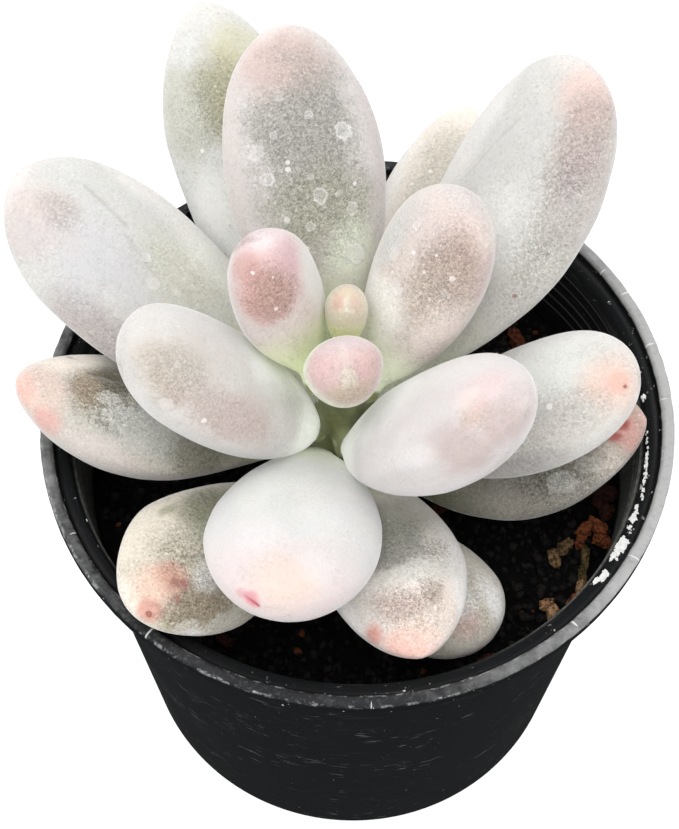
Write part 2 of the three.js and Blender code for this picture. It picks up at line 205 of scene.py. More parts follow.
# A chip has a place, a turn and a tilt in degrees, its size and its tone, from dark red to orange and pale
# tan; above 1 it is olive.
BARK_CHIPS = [
    (32.6, -2.4, 80, 10, (2.6, 2.0, 1.6), 0.05), (33.2, -4.4, 20, -12, (2.4, 2.0, 1.5), 0.12),
    (32.2, -5.4, 140, 8, (2.2, 1.8, 1.4), 0.0), (33.0, -6.8, 60, 14, (2.4, 1.6, 1.3), 0.15),
    (31.0, -3.6, 40, 12, (2.2, 1.6, 1.2), 0.02), (31.8, -8.9, -35, 10, (2.6, 1.5, 1.4), 0.5),
    (30.2, -9.3, 35, -12, (2.4, 1.6, 1.3), 0.45), (32.4, -10.8, -20, 16, (2.4, 1.4, 1.2), 0.55),
    (29.6, -10.9, 75, 10, (2.2, 1.2, 1.1), 0.4), (30.1, -13.2, 84, -8, (3.2, 1.0, 0.9), 1.6),
    (29.6, -16.0, 88, 9, (3.4, 1.0, 0.9), 1.7), (29.0, -18.6, 80, -10, (3.0, 1.1, 1.0), 1.3),
    (28.4, -20.2, 60, 8, (2.6, 1.7, 1.2), 0.45), (27.2, -22.0, 55, -10, (2.4, 1.3, 1.1), 0.6),
    (25.5, -21.6, 100, 12, (2.4, 1.8, 1.4), 1.0), (24.7, -20.2, 20, -9, (1.8, 1.3, 1.0), 0.85),
    (27.4, -11.8, 50, 8, (2.8, 1.4, 0.9), 1.5), (26.0, -13.4, 110, -12, (2.2, 1.2, 0.9), 1.4),
    (17.2, -27.9, 20, 6, (2.6, 1.5, 1.0), 0.2), (11.0, -6.8, 45, -8, (2.8, 1.6, 1.0), 0.2),
    (-29.0, 6.0, 30, 9, (2.6, 1.6, 1.0), 0.1), (6.0, 28.0, 10, 9, (3.4, 1.9, 1.0), 0.3),
    (-16.0, -26.0, 150, 7, (2.2, 1.3, 1.0), 0.1), (22.0, 20.0, 120, -9, (3.6, 1.8, 1.1), 0.3),
]
CHIP = {"square": 3, "raised": 0.4, "above": 0.3, "scale": 1.3, "apart": 3.7}
CHIP_ROUGHNESS = [(1, 0.45), (2.6, 0.28), (7, 0.1)]
# A patch of white flakes on the shoulder has its turn and radius, its spread in degrees and in millimetres,
# the largest size of its flakes and their count.
SHOULDER_FLAKES = [
    (5.4, 36.8, 0.35, 0.12, 0.9, 9), (-4, 36.8, 1.2, 0.08, 0.5, 10), (-9, 36.9, 1.2, 0.08, 0.6, 16),
    (-13, 37.0, 1.2, 0.08, 0.6, 14), (-17, 37.1, 1.0, 0.1, 0.5, 8), (-21.5, 37.0, 0.9, 0.15, 0.9, 14),
    (-24.5, 36.9, 0.5, 0.12, 0.6, 4), (-28, 36.8, 1.0, 0.35, 1.2, 26), (-30.5, 36.8, 0.6, 0.3, 1.2, 14),
    (-35.9, 37.2, 0.5, 0.2, 1.1, 12), (-155, 36.6, 0.4, 0.1, 0.7, 2),
]
FLAKE = {"smallest": 0.3, "wide": (0.4, 0.9), "long": (0.6, 1.4), "thick": 0.2, "rough": 0.9}
SHOULDER = {"inner": 36.8, "outer": 38.2, "low": 68.3, "rise": 0.3, "wall": 4.0}

# Camera and light. The picture is in pixels, the camera's place in millimetres, its turns in degrees.
PICTURE = (679, 829)
CAMERA = {
    "focal_pixels": 1700, "sensor": 36, "place": (0, -108.84, 255.6),
    "yaw": 1.20, "down": 59.87, "roll": 0.48,
}
WORLD_LIGHT = 1.0
UNDER_LIGHT = 0.07
HORIZON = (-0.25, 0.05)
FLOOR = {"half": 8000, "tint": "8c8c8c", "glow": 0.92}
LIGHT_AIM = (0, 0, 0.07)
LIGHTS = [
    ("overhead", (-0.12, 0.1, 0.6), 0.8, 2.4), ("front", (0.05, -0.5, 0.26), 0.5, 0.5),
]


def srgb(text):
    """A colour from its six hex digits, in the linear values that shaders take."""
    shares = [int(text[at:at + 2], 16) / 255 for at in (0, 2, 4)]
    linear = [share / 12.92 if share <= 0.04045 else ((share + 0.055) / 1.055) ** 2.4 for share in shares]
    return (*linear, 1.0)


# The colours of the powder, of the flesh under it and of the flushes on it
WHITE = "f6f4f3"
PEARL = "dedcd9"
MOSS = "aeab8e"
OLIVE = "827f66"
DARK_OLIVE = "5c5745"
SHELL = "d2b8b0"
ROSY_GREY = "b9a7a2"
MAUVE_GREY = "b3a8a7"
PINK = "d5b3b2"
CORAL = "cf9d90"
BRICK = "9c6a61"
RUST = "8a3b38"
TAN = "a99a8b"
FILM = "c3c4bf"

# How each leaf is coloured. powder and flesh are its two layers, worn is how thin the powder is all over,
# root the colour near the stem and how far it reaches, which also gives off a painted glow there (glow is
# how strongly), tip the flush at the end and how far it reaches.
# A place is in per cent of the leaf's length and half width, on its upper side or under it. Strengths are in
# per cent too, and all other sizes in millimetres.
# A flush has a tint, a place, its reach along, across and through the leaf, and a strength; a rub has the
# same without a tint; a flake has a place and a reach; a drop has a place, a radius and a kind of mark;
# a crease runs from one place to another, with a width and a depth, and is painted darker along its line
# as painted shade in its groove.
LOOKS = {
    "leaf_rear_left": dict(
        powder="d4d4d2", flesh="918f7c", worn=0.08, root=("e2e2da", 27), tip=("d6d4d0", 5),
        flushes=[(MOSS, (75, 2), (8, 5), 85), ("cac6a6", (87, -25), (4.5, 4), 60),
            ("b9b9ac", (76, 75), (8, 4), 70), ("e6e6e2", (47, 60), (9, 5), 80)],
        rubs=[((74, 5), (7, 5), 35), ((74, 60), (7, 4), 12)],
        drops=[((60, 42), 0.5, "disc"), ((66, 62), 0.3, "spot")],
    ),
    "leaf_rear_right": dict(
        lift=1.19, powder="d2cbc3", flesh="a19b8a", worn=0.08, root=("dfddd0", 24), tip=("d6cdc6", 5),
        flushes=[("b8b3a8", (76, -10), (7, 4), 60), (PEARL, (70, 85), (12, 2.4), 60)],
        rubs=[((78, 5), (7, 4), 18)],
        drops=[((76, 16), 0.4, "spot"), ((71, 40), 0.3, "spot")],
    ),
    "leaf_left_tall": dict(
        lift=1.05, powder="ccccca", flesh="a09e90", worn=0.1, root=("cdd0bd", 22), tip=("d3cfce", 4),
        flushes=[(SHELL, (88, 38), (5, 5), 45), (ROSY_GREY, (86, 15), (3, 2.4), 35),
            (MAUVE_GREY, (58, 88), (8, 3.4), 70), ("cbcbbc", (52, -22), (7, 5), 70),
            (PEARL, (62, -85), (14, 2.6), 80), ("c9c8cb", (74, 35), (9, 6), 60),
            ("e2e2da", (46, -65), (7, 3.4), 80), ("bdb9b9", (90, 60), (5, 3), 50)],
        rubs=[((86, 15), (3, 2.6), 20), ((50, -20), (7, 4), 12), ((58, 88), (8, 3), 16)],
        drops=[((56, 12), 1.0, "disc"), ((62, -5), 0.7, "ring"), ((50, 2), 0.6, "disc")],
        creases=[((85, -31), (71, -22), 0.5, 0.1), ((70, -12), (56, 5), 0.5, 0.06)],
    ),
    "leaf_right_tall": dict(
        lift=1.05, powder="cccbc8", flesh="a09c92", worn=0.12, root=("cfd1c0", 22), tip=("d5cfcc", 3),
        flushes=[(SHELL, (94, -35), (4, 4), 70), (ROSY_GREY, (86, -60), (6, 4), 70),
            (MAUVE_GREY, (74, -82), (9, 4), 60), ("c4c3bc", (58, -85), (8, 3), 50),
            (PEARL, (66, 70), (14, 3), 80), ("bcb6b2", (94, -80), (4, 3), 30),
            ("dfe0dc", (54, -30), (8, 5), 70), ("c3c2bf", (80, -10), (7, 4), 50)],
        rubs=[((84, -60), (8, 4), 25), ((66, -75), (9, 4), 20), ((50, -85), (8, 3), 20)],
        drops=[((45, -80), 0.3, "pit"), ((58, -30), 1.6, "disc"), ((62, -55), 0.5, "ring")],
        creases=[((82, 15), (74, 27), 0.35, 0.08), ((72, 30), (62, 42), 0.35, 0.06)],
    ),
    "leaf_rear_tall": dict(
        lift=1.04, powder="d0cbc9", flesh="7a7a6e", worn=0.08, root=("d2d9bf", 15), tip=("d6ceca", 3),
        flushes=[("c9b3ae", (88, 10), (4.5, 5.5), 90), ("a3a29b", (68, -2), (10, 6.5), 70),
            ("b2b2a1", (46, -5), (6, 7), 80), ("cac3bf", (66, 95), (13, 2.4), 70),
            ("c8c1c0", (70, -90), (13, 2.4), 70), ("dadfce", (34, -40), (4, 4), 80)],
        rubs=[((66, -2), (11, 7), 40), ((44, -5), (6, 7), 28)],
        drops=[((51, -6), 1.1, "ring"), ((51, -31), 0.55, "disc"), ((46, -46), 0.9, "ring"),
            ((62, 25), 0.3, "spot"), ((60, 26), 0.35, "spot"), ((46, 37), 0.42, "spot"),
            ((58, 52), 0.9, "ring"), ((53, -53), 0.35, "spot"), ((33, -41), 1.5, "ring"),
            ((66, 60), 1.2, "disc"), ((74, -10), 0.6, "ring"), ((80, 22), 0.5, "disc"),
            ((70, 36), 0.5, "ring"), ((43, 10), 0.7, "ring"), ((40, -15), 0.5, "disc"),
            ((68, -48), 1.3, "ring"), ((57, 0), 0.45, "ring"), ((37, 20), 0.5, "spot")],
    ),
    "leaf_left_low": dict(
        powder="cdc9c1", flesh="6f6a58", worn=0.15, root=("a3a68c", 12), tip=("dccac3", 3), specks=0.25,
        flushes=[("dbc4ba", (93, 20), (3.4, 5), 70), ("d3a29c", (91, 60), (2.2, 1.8, 2), 70),
            ("e3b1a6", (98.5, 20), (1.6, 2.6), 60), ("eee4d8", (86, -50), (5.5, 4), 95),
            (DARK_OLIVE, (71, -16), (3.6, 2.6), 85), ("a8957c", (81, 12), (2.4, 3), 70),
            (FILM, (58, 55), (7, 4.5), 70), ("d2c9c5", (74, 95), (9, 2.4), 80),
            (OLIVE, (42, 65), (5, 4), 50)],
        rubs=[((76, 12), (5, 4), 50), ((66, 20), (6, 3), 30), ((44, 70), (6, 3), 25),
            ((70, 60), (3, 1.4), 35)],
        flakes=[((74, 24), (2.0, 1.2)), ((66, 52), (4.5, 2.4)), ((56, 62), (3, 2.4))],
        creases=[((85, -60), (68, 3), 0.55, 0.5), ((80, -17), (62, -16), 0.5, 0.4)],
    ),
    "leaf_front_left": dict(
        lift=1.03, powder="d3ccbe", flesh="726c57", worn=0.17, root=("a3a68a", 13), tip=("e4dad0", 2),
        specks=0.35,
        flushes=[("dcd4c6", (84, -70), (9, 3.4), 80), ("e4c4b4", (92, -2), (3.6, 3), 80),
            ("c69a88", (86, 2), (2.2, 2.6), 80), (CORAL, (97.5, 18), (1.4, 1.5), 80),
            (BRICK, (84.5, 20), (1.0, 0.9), 60), (BRICK, (86.5, 12), (1.0, 0.7), 50),
            (BRICK, (89, 29), (0.9, 0.7), 50), ("9a8d78", (84, 55), (5, 3), 80),
            ("787b5c", (55, -45), (5, 4), 80), ("aaad98", (62, -15), (4, 2.4), 60),
            ("8d9070", (68, -76), (1.6, 0.7), 60), ("e6e4e0", (73, 28), (3.4, 2), 80),
            ("ebe8e4", (95, 75), (6, 1.2), 80)],
        rubs=[((76, -15), (5, 4), 25), ((84, 50), (5, 3.4), 45), ((56, -50), (4, 3), 30)],
        flakes=[((90, 62), (2.6, 1.2)), ((78, 84), (4, 1.2)), ((70, 10), (2.4, 1.4))],
        creases=[((51, -73), (55, -50), 0.35, 0.3), ((47, -70), (52, -47), 0.35, 0.25),
            ((79, -12), (72, 3), 0.4, 0.25), ((80, -2), (72, 6), 0.3, 0.15),
            ((76, -20), (72, -2), 0.3, 0.12)],
        drops=[((84.5, 18), 0.55, "pit"), ((86.5, 10), 0.5, "pit"), ((89, 29), 0.4, "pit"),
            ((83, -10), 0.3, "pit"), ((81, -3), 0.3, "pit"), ((98, 22), 0.5, "rust")],
    ),
    "leaf_front_small": dict(
        lift=1.2, powder="cfcabf", flesh="989282", worn=0.18, root=("8f907e", 12), tip=("d4cec4", 2),
        specks=0.3,
        flushes=[(SHELL, (90, -5), (2.4, 2.2), 80), (WHITE, (88, 62), (5, 2), 70),
            (WHITE, (84, 10), (2, 3), 50)],
        rubs=[((90, 10), (4, 3), 25), ((80, 50), (3, 2.4), 20)],
        creases=[((83, 32), (95, 41), 0.3, 0.12)],
    ),
    "leaf_right_lowest": dict(
        lift=0.95, powder="a9a59c", flesh="5a584c", worn=0.2, root=("62664f", 19), tip=("e2bdb2", 2),
        specks=0.4,
        flushes=[("e0aea4", (93, -14), (2.0, 3), 85), ("ac4b46", (93, -8), (1.0, 0.9), 85),
            ("ac4b46", (89.5, -24), (1.1, 0.7), 80), ("e8ddd2", (86, -55), (2.6, 2.6), 90),
            ("8d8577", (78, -45), (2.4, 2), 60), ("f0ebe6", (90, -85), (4, 1.6), 90),
            ("c9c4bb", (76, -80), (5, 2), 60)],
        rubs=[((72, -62), (7, 4), 40)],
        flakes=[((80, -55), (2.2, 1.4)), ((70, -72), (2.6, 1.6))],
    ),
    "leaf_right_low": dict(
        lift=1.01, powder="d0ceca", flesh="9b988e", worn=0.1, root=("c3c6b3", 14), tip=("d6cec9", 2),
        specks=0.2,
        flushes=[("dcc2b6", (95, -18), (4, 4), 80), ("d9a99c", (97, -22), (1.8, 1.6), 60),
            (PEARL, (84, 70), (9, 3), 60), ("a5a2a1", (55, -95), (9, 2), 80),
            ("d0ccc6", (80, -62), (6, 3), 60), ("dde0dc", (70, 20), (9, 5), 60)],
        rubs=[((86, -50), (4, 2.6), 20), ((70, -50), (6, 4), 10), ((55, -90), (9, 2.4), 20)],
        drops=[((98, -27), 0.3, "rust"), ((66, -72), 0.6, "ring"), ((76, -40), 0.5, "spot")],
        flakes=[((74, -48), (1.6, 1.6)), ((86, -52), (1.6, 0.8))],
    ),
    "leaf_front_right": dict(
        lift=1.17, powder="d6d0cb", flesh="8b877c", worn=0.13, root=("aeb19c", 12), tip=("d9c0b9", 2),
        specks=0.3,
        flushes=[("d8a598", (96, -20), (2.2, 4), 70), ("dccabf", (86, 20), (5, 5), 60),
            ("8b8b84", (57, 0), (5, 5), 85), (TAN, (77, 34), (1.8, 1.4), 80),
            ("c4b2aa", (82, -20), (3, 3), 70), (PEARL, (70, 85), (9, 2), 80),
            ("8d8e7e", (46, 5), (4, 6), 60), ("f0e9e6", (78, -85), (5, 2), 90),
            ("c4887d", (88.5, -55), (1.7, 1.4, 2), 85), ("e4dcd6", (74, 10), (2, 5), 60),
            ("f0ecea", (90, 80), (4, 1.6), 80)],
        rubs=[((58, 5), (4, 5), 35), ((82, -15), (3, 3.4), 35), ((77, 34), (2.2, 1.8), 50),
            ((88, 10), (3, 4), 20), ((62, 60), (2, 2.6), 35)],
        flakes=[((70, 40), (2.0, 5)), ((72, -5), (1.4, 3))],
    ),
    "leaf_front_middle": dict(
        lift=0.98, powder="dadada", flesh="c4c4b4", worn=0.06, root=("b9bf9c", 11), tip=("d8c9c9", 12),
        crease_tint="b03a4e", specks=0.03,
        flushes=[("dfcbbf", (95, 2), (3, 4), 70), ("d98f98", (98.5, -27, "under"), (0.5, 1.3, 1.3), 80),
            ("d49aa2", (97.5, -38), (0.8, 0.8), 60), ("e0e0df", (66, 35), (4, 3), 50),
            ("e0dfdf", (80, -30), (2.6, 3), 40), ("e2e3e0", (52, -50), (5, 3), 70),
            ("d3d6d5", (74, 5), (2.6, 2.4), 50), ("d2d4d2", (62, -15), (3, 2), 50),
            ("dfdddd", (88, 40), (2, 2.4), 40)],
        creases=[((98.5, -37, "under"), (99, -18, "under"), 0.4, 0.45)],
    ),
    "leaf_left_middle": dict(
        # Near the stem this leaf is painted near white, with a near-white flush at its base and a stronger
        # glow: painted light in the shade among the leaves
        lift=0.99, powder="d6d4d2", flesh="a59d8e", worn=0.06, glow=0.35, root=("f2f5ee", 11),
        tip=("c9c6c3", 3),
        flushes=[("b9ac9c", (87, 50), (5, 4), 70), ("c6b2ad", (62, 78), (9, 3.6), 70),
            ("f4f5f6", (36, -40), (7, 5), 90), ("cdc8c2", (78, 30), (6, 5), 60),
            ("e6e6e6", (72, -90), (7, 1.6), 70)],
        rubs=[((87, 50), (4.4, 3.4), 26), ((62, 80), (8, 3), 16)],
        drops=[((84, 81), 1.1, "disc"), ((69, 91), 0.35, "spot"), ((87, 40), 0.5, "disc")],
    ),
    "leaf_right_middle": dict(
        # Near the stem this leaf is painted near white, with a near-white flush at its base and a stronger
        # glow: painted light in the shade among the leaves
        lift=0.98, powder="d6d1d1", flesh="b5aaa4", worn=0.05, glow=0.35, root=("f2f5ee", 11),
        tip=("c9bfbf", 3), specks=0.03,
        flushes=[("cbb5a9", (89, -30), (2.4, 2.2), 70), ("b09b97", (87, -64), (5.4, 3, 4), 60),
            ("dcc3c3", (88, 5), (3.4, 3.4), 60), (PEARL, (58, 45), (10, 4), 60),
            ("c6c2c1", (66, -95), (9, 1.4), 70), ("f4f5f6", (36, 15), (7, 6), 90),
            ("dfd7d1", (84, -10), (1.6, 1.8), 50), ("dcdad9", (66, -80), (4, 1.4), 50),
            ("b9a8a5", (96, -32), (2.2, 4.4, 3), 65)],
        rubs=[((89, -35), (2.4, 2.4), 8)],
    ),
    "leaf_right_upper": dict(
        lift=1.09, powder="d3cac5", flesh="8f7b6b", worn=0.12, glow=0.24, root=("dfe4cb", 12),
        tip=("c6bfbe", 2), specks=0.3,
        flushes=[("cab8b2", (90, -35), (3.4, 4), 60), ("b5a196", (78, -52), (4.4, 3.6), 80),
            ("cdbfb4", (63, -50), (5, 4), 70), ("c3c4c1", (76, 60), (8, 2.6), 80),
            ("cabebb", (86, 20), (4, 4), 60), ("e6dad4", (46, -75), (5, 3), 80),
            ("f2f2ee", (42, 30), (5, 4), 70), ("b9a5a4", (80, -90), (4, 1.6), 60)],
        rubs=[((76, -46), (6, 4), 32), ((62, -50), (5, 4), 22)],
        drops=[((67, 42), 1.0, "disc"), ((55, 6), 0.8, "ring"), ((83, 30), 0.6, "ring"),
            ((73, -62), 0.4, "spot"), ((79, -25), 0.25, "spot"), ((66, -62), 0.5, "ring"),
            ((70, -20), 0.3, "spot"), ((60, 30), 0.3, "spot"), ((74, 10), 0.25, "spot")],
    ),
    "leaf_left_upper": dict(
        lift=0.98, powder="d9cfcc", flesh="93655a", worn=0.06, glow=0.22, root=("d9e2b2", 14),
        tip=("d9c9cc", 1.5), specks=0.35,
        flushes=[(PINK, (86, 25), (5, 5), 75), ("d6a8a2", (82, 66), (4, 2.4), 70),
            ("c3a398", (80, 46), (3.4, 3.0), 80), ("cdacb4", (90, -30), (2.6, 2.4), 70),
            # The pale flush at the very tip, at 100 per cent along, is a painted highlight
            ("e6dfe0", (100, 0), (1.4, 1.4), 40), ("dcdcd8", (68, -62), (6, 2.6), 80),
            ("c39c97", (95, 58), (2.4, 2.0), 75), ("c6ca86", (33, -55), (3, 2, 3), 60)],
        rubs=[((80, 46), (4.2, 3.4), 40)],
        drops=[((70, 50), 0.3, "spot"), ((93, 55), 0.25, "spot"), ((88, 30), 0.18, "spot")],
    ),
    "leaf_front_bud": dict(
        lift=0.93, powder="dac4c1", flesh="b08f86", worn=0.12, root=("d3d6bd", 9.3), root_fade=0.72,
        tip=("d8c0be", 2),
        flushes=[("dab9b8", (88, -72), (2.4, 2, 3), 60), ("dab9b5", (94, 45, "under"), (2, 2, 3), 60),
            # The cream flushes at the tip, over and under it, are a painted highlight streak
            ("d8cbd0", (86, 10), (2, 4, 2), 60), ("e2dcce", (98, -10, "under"), (1.6, 1.0, 1.4), 80),
            ("e0d4ca", (99, -8), (2.0, 0.5, 2.4), 40), ("bdb295", (85, -20, "under"), (1.8, 3, 2), 60)],
        rubs=[((93, 30, "under"), (3, 3, 3), 12)],
    ),
    "leaf_tip_bud": dict(
        lift=0.98, powder="dcd3c2", flesh="c2b49c", worn=0.12, root=("cfd39c", 5.8), root_fade=0.5,
        tip=("cdbfac", 1.8),
        flushes=[("d6ada2", (86, 40), (1.2, 0.8), 60), ("d6b3aa", (86, -45), (1.1, 0.7), 50),
            ("ecdfd6", (90, 2), (1.6, 0.3), 50), (WHITE, (79, -5), (0.3, 0.25), 50),
            ("ecdfd6", (77, 22), (0.3, 0.4), 50), ("ecdfd6", (77, -30), (0.3, 0.4), 50)],
        drops=[((66, 20), 0.14, "spot"), ((70, -10), 0.12, "spot")],
    ),
}


class Signal:
    """One output of a node, used in sums with numbers and other signals."""

    def __init__(self, board, socket):
        self.board = board
        self.socket = socket

    def __add__(self, other):
        return self.board.maths("ADD", self, other)

    def __sub__(self, other):
        return self.board.maths("SUBTRACT", self, other)

    def __rsub__(self, other):
        return self.board.maths("SUBTRACT", other, self)

    def __mul__(self, other):
        return self.board.maths("MULTIPLY", self, other)

    def __truediv__(self, other):
        return self.board.maths("DIVIDE", self, other)

    def __rtruediv__(self, other):
        return self.board.maths("DIVIDE", other, self)

    def __pow__(self, other):
        return self.board.maths("POWER", self, other)

    def __rpow__(self, other):
        return self.board.maths("POWER", other, self)

    __radd__ = __add__
    __rmul__ = __mul__

    def output(self, name):
        return Signal(self.board, self.socket.node.outputs[name])


class Board:
    """The nodes of one tree. add() makes any node, and the other methods are short forms of it."""

    def __init__(self, tree):
        self.tree = tree

    def add(self, kind, settings=None, inputs=None, output=0):
        node = self.tree.nodes.new(kind)
        for name, value in (settings or {}).items():
            setattr(node, name, value)
        for key, value in (inputs or {}).items():
            if isinstance(value, Signal):
                self.tree.links.new(value.socket, node.inputs[key])
            else:
                node.inputs[key].default_value = value
        return Signal(self, node.outputs[output]) if node.outputs else node

    def maths(self, operation, *values):
        return self.add("ShaderNodeMath", {"operation": operation}, dict(enumerate(values)))

    def larger(self, *values):
        return self.maths("MAXIMUM", *values)

    def smaller(self, *values):
        return self.maths("MINIMUM", *values)

    def clamped(self, value, low, high):
        return self.smaller(self.larger(value, low), high)

    def vector(self, operation, *values, scale=None):
        inputs = dict(enumerate(values))
        if scale is not None:
            inputs["Scale"] = scale
        output = "Value" if operation in ("LENGTH", "DOT_PRODUCT") else "Vector"
        return self.add("ShaderNodeVectorMath", {"operation": operation}, inputs, output)

    def distance(self, first, second):
        return self.vector("LENGTH", self.vector("SUBTRACT", first, second))

    def ramp(self, value, low, high):
        """0 at low, 1 at high and smooth between them, whichever is the larger."""
        settings = {"interpolation_type": "SMOOTHSTEP"}
        return self.add("ShaderNodeMapRange", settings, {"Value": value, "From Min": low, "From Max": high})

    def mix(self, share, first, second):
        """A colour on the way from the first to the second, each a signal or its six hex digits."""
        first, second = (srgb(tint) if isinstance(tint, str) else tint for tint in (first, second))
        return self.add("ShaderNodeMix", {"data_type": "RGBA"}, {0: share, 6: first, 7: second}, 2)

    def noise(self, place, scale, detail=2.0, roughness=0.5, curl=0.0, seed=None):
        """Noise over a place, stretched where the scale is three numbers, and another one for each seed."""
        if isinstance(scale, tuple):
            place, scale = self.vector("MULTIPLY", place, scale), 1.0
        settings, inputs = {}, {"Vector": place, "Scale": scale, "Detail": detail}
        inputs.update({"Roughness": roughness, "Distortion": curl})
        if seed is not None:
            settings["noise_dimensions"] = "4D"
            inputs["W"] = seed
        return self.add("ShaderNodeTexNoise", settings, inputs)

    def parts(self, value):
        """The three numbers of a vector."""
        x = self.add("ShaderNodeSeparateXYZ", None, {"Vector": value})
        return x, x.output("Y"), x.output("Z")

    def joined(self, x, y, z):
        return self.add("ShaderNodeCombineXYZ", None, {"X": x, "Y": y, "Z": z})

    def attribute(self, name, output="Vector"):
        return self.add("ShaderNodeAttribute", {"attribute_name": name}, None, output)

    def shaped(self, kind, shape, **inputs):
        """The shape as one geometry node leaves it."""
        return self.add(kind, None, {"Geometry": shape, **inputs})

    def stored(self, shape, name, value, kind="FLOAT", domain="POINT"):
        """The shape with a named value on each of its points or copies."""
        settings = {"data_type": kind, "domain": domain}
        inputs = {"Geometry": shape, "Name": name, "Value": value}
        return self.add("GeometryNodeStoreNamedAttribute", settings, inputs)

    def object_place(self):
        """The place on the object in millimetres."""
        return self.vector("SCALE", self.add("ShaderNodeTexCoord", None, None, "Object"), scale=1 / MM)


TO_METRES = Matrix.Scale(MM, 4)


def linked(name, data):
    """A new object in the scene."""
    item = bpy.data.objects.new(name, data)
    bpy.context.scene.collection.objects.link(item)
    return item


def shell_mesh(name, shell):
    """The mesh of a finished shell, which is freed."""
    mesh = bpy.data.meshes.new(name)
    shell.to_mesh(mesh)
    shell.free()
    return mesh


def new_material(name):
    material = bpy.data.materials.new(name)
    material.use_nodes = True
    material.node_tree.nodes.clear()
    return material, Board(material.node_tree)


def surface(board, height=None, relief=0.0, **sockets):
    """The shader of a finish: relief is how many millimetres of bump a height of 1 gives."""
    inputs = {name.replace("_", " ").title().replace("Ior", "IOR"): value for name, value in sockets.items()}
    if height is not None:
        inputs["Normal"] = board.add("ShaderNodeBump", None, {"Height": height, "Distance": relief * MM})
    shader = board.add("ShaderNodeBsdfPrincipled", None, inputs)
    board.add("ShaderNodeOutputMaterial", None, {"Surface": shader})


# Leaf shape
def leaf_size(form, body):
    """How much of its full width a leaf has, from 0 at the neck to 1 at the tip."""
    wide, taper, blunt = form.get("wide", WIDEST), form.get("taper", TAPER), form.get("blunt", BLUNT)
    low = (1 - (1 - min(body / wide, 1)) ** 2) ** (1 / taper)
    high = max(1 - (max(body - wide, 0) / (1 - wide)) ** blunt, 0) ** (1 / blunt)
    return low * high


def skin_place(form, along, across, side="upper"):
    """The place on the skin of a leaf in its own millimetres, from per cent of its length and half width."""
    length, width, thick = form["size"]
    along, across = along / 100, across / 100
    body = min(max((along * length - NECK["from"]) / (length - NECK["from"]), 0), 1)
    size = max(leaf_size(form, body), 0.05)
    edge = min(abs(across) / size, 1)
    height = (1 - edge * edge) ** (EDGE_POWER / 2)
    share = UPPER_SHARE if side == "upper" else UPPER_SHARE - 1
    return Vector((along * length, across * width / 2, share * thick * size * height))


def leaf_frame(form):
    """The matrix that takes a leaf's own millimetres to the plant's metres."""
    heading, slope = math.radians(form["turn"]), math.radians(form["rise"])
    flat = Vector((math.cos(heading), math.sin(heading), 0))
    along = flat * math.cos(slope) + Vector((0, 0, math.sin(slope)))
    upper = flat * -math.sin(slope) + Vector((0, 0, math.cos(slope)))
    upper.rotate(Matrix.Rotation(-math.radians(form.get("roll", 0)), 4, along))
    across = upper.cross(along)
    centre, radius = stem_at(form["on"])
    root = centre
    if "seat" in form:
        seat = math.radians(form["seat"])
        root = centre + Vector((math.cos(seat), math.sin(seat), 0)) * (radius + LEAF_ROOT)
    turned = Matrix((along, across, upper)).transposed().to_4x4()
    return TO_METRES @ Matrix.Translation(root) @ turned


def stem_at(z):
    """The middle of the stem at a height, and its radius there."""
    lean = max((z - STEM["soil"]) / (STEM["top"] - STEM["soil"]), 0)
    radius = STEM["thick"] + (STEM["thin"] - STEM["thick"]) * min(lean, 1)
    return Vector((STEM["x"] + STEM["lean_x"] * lean, STEM["y"] + STEM["lean_y"] * lean, z)), radius


LEAF_INPUTS = {
    "Length": "Float", "Width": "Float", "Thickness": "Float", "Bend": "Float", "Widest": "Float",
    "Taper": "Float", "Blunt": "Float", "Swell": "Float", "Pucker": "Float", "Seed": "Float",
    "Rings": "Int", "Sides": "Int", "Skin": "Material",
}


def new_tree(name, inputs):
    """An empty geometry tree with a geometry output, its board, and its inputs by name."""
    tree = bpy.data.node_groups.new(name, "GeometryNodeTree")
    for label, kind in inputs.items():
        tree.interface.new_socket(label, in_out="INPUT", socket_type="NodeSocket" + kind)
    tree.interface.new_socket("Geometry", in_out="OUTPUT", socket_type="NodeSocketGeometry")
    board = Board(tree)
    entry = tree.nodes.new("NodeGroupInput")
    return tree, board, {label: Signal(board, entry.outputs[label]) for label in inputs}


def leaf_outline(board, given, along):
    """Where a place is along the leaf's body, and how much of its full size the leaf has there."""
    length, wide, blunt = given["Length"], given["Widest"], given["Blunt"]
    body = board.larger((along - NECK["from"]) / (length - NECK["from"]), 0.0)
    rising = 1 - (1 - board.smaller(body / wide, 1.0)) ** 2.0
    closing = 1 - (board.larger(body - wide, 0.0) / (1 - wide)) ** blunt
    blade = rising ** (1 / given["Taper"]) * board.larger(closing, 0.0) ** (1 / blunt)
    rounding = board.smaller((along + LEAF_SINK) / LEAF_SINK, 1.0) ** 0.5
    narrow = board.smaller(2 * NECK["radius"] / given["Width"], 2 * NECK["share"])
    neck = narrow * rounding * board.larger(1 - body * 2.0, 0.0)
    return body, (blade ** 4.0 + neck ** 4.0) ** 0.25


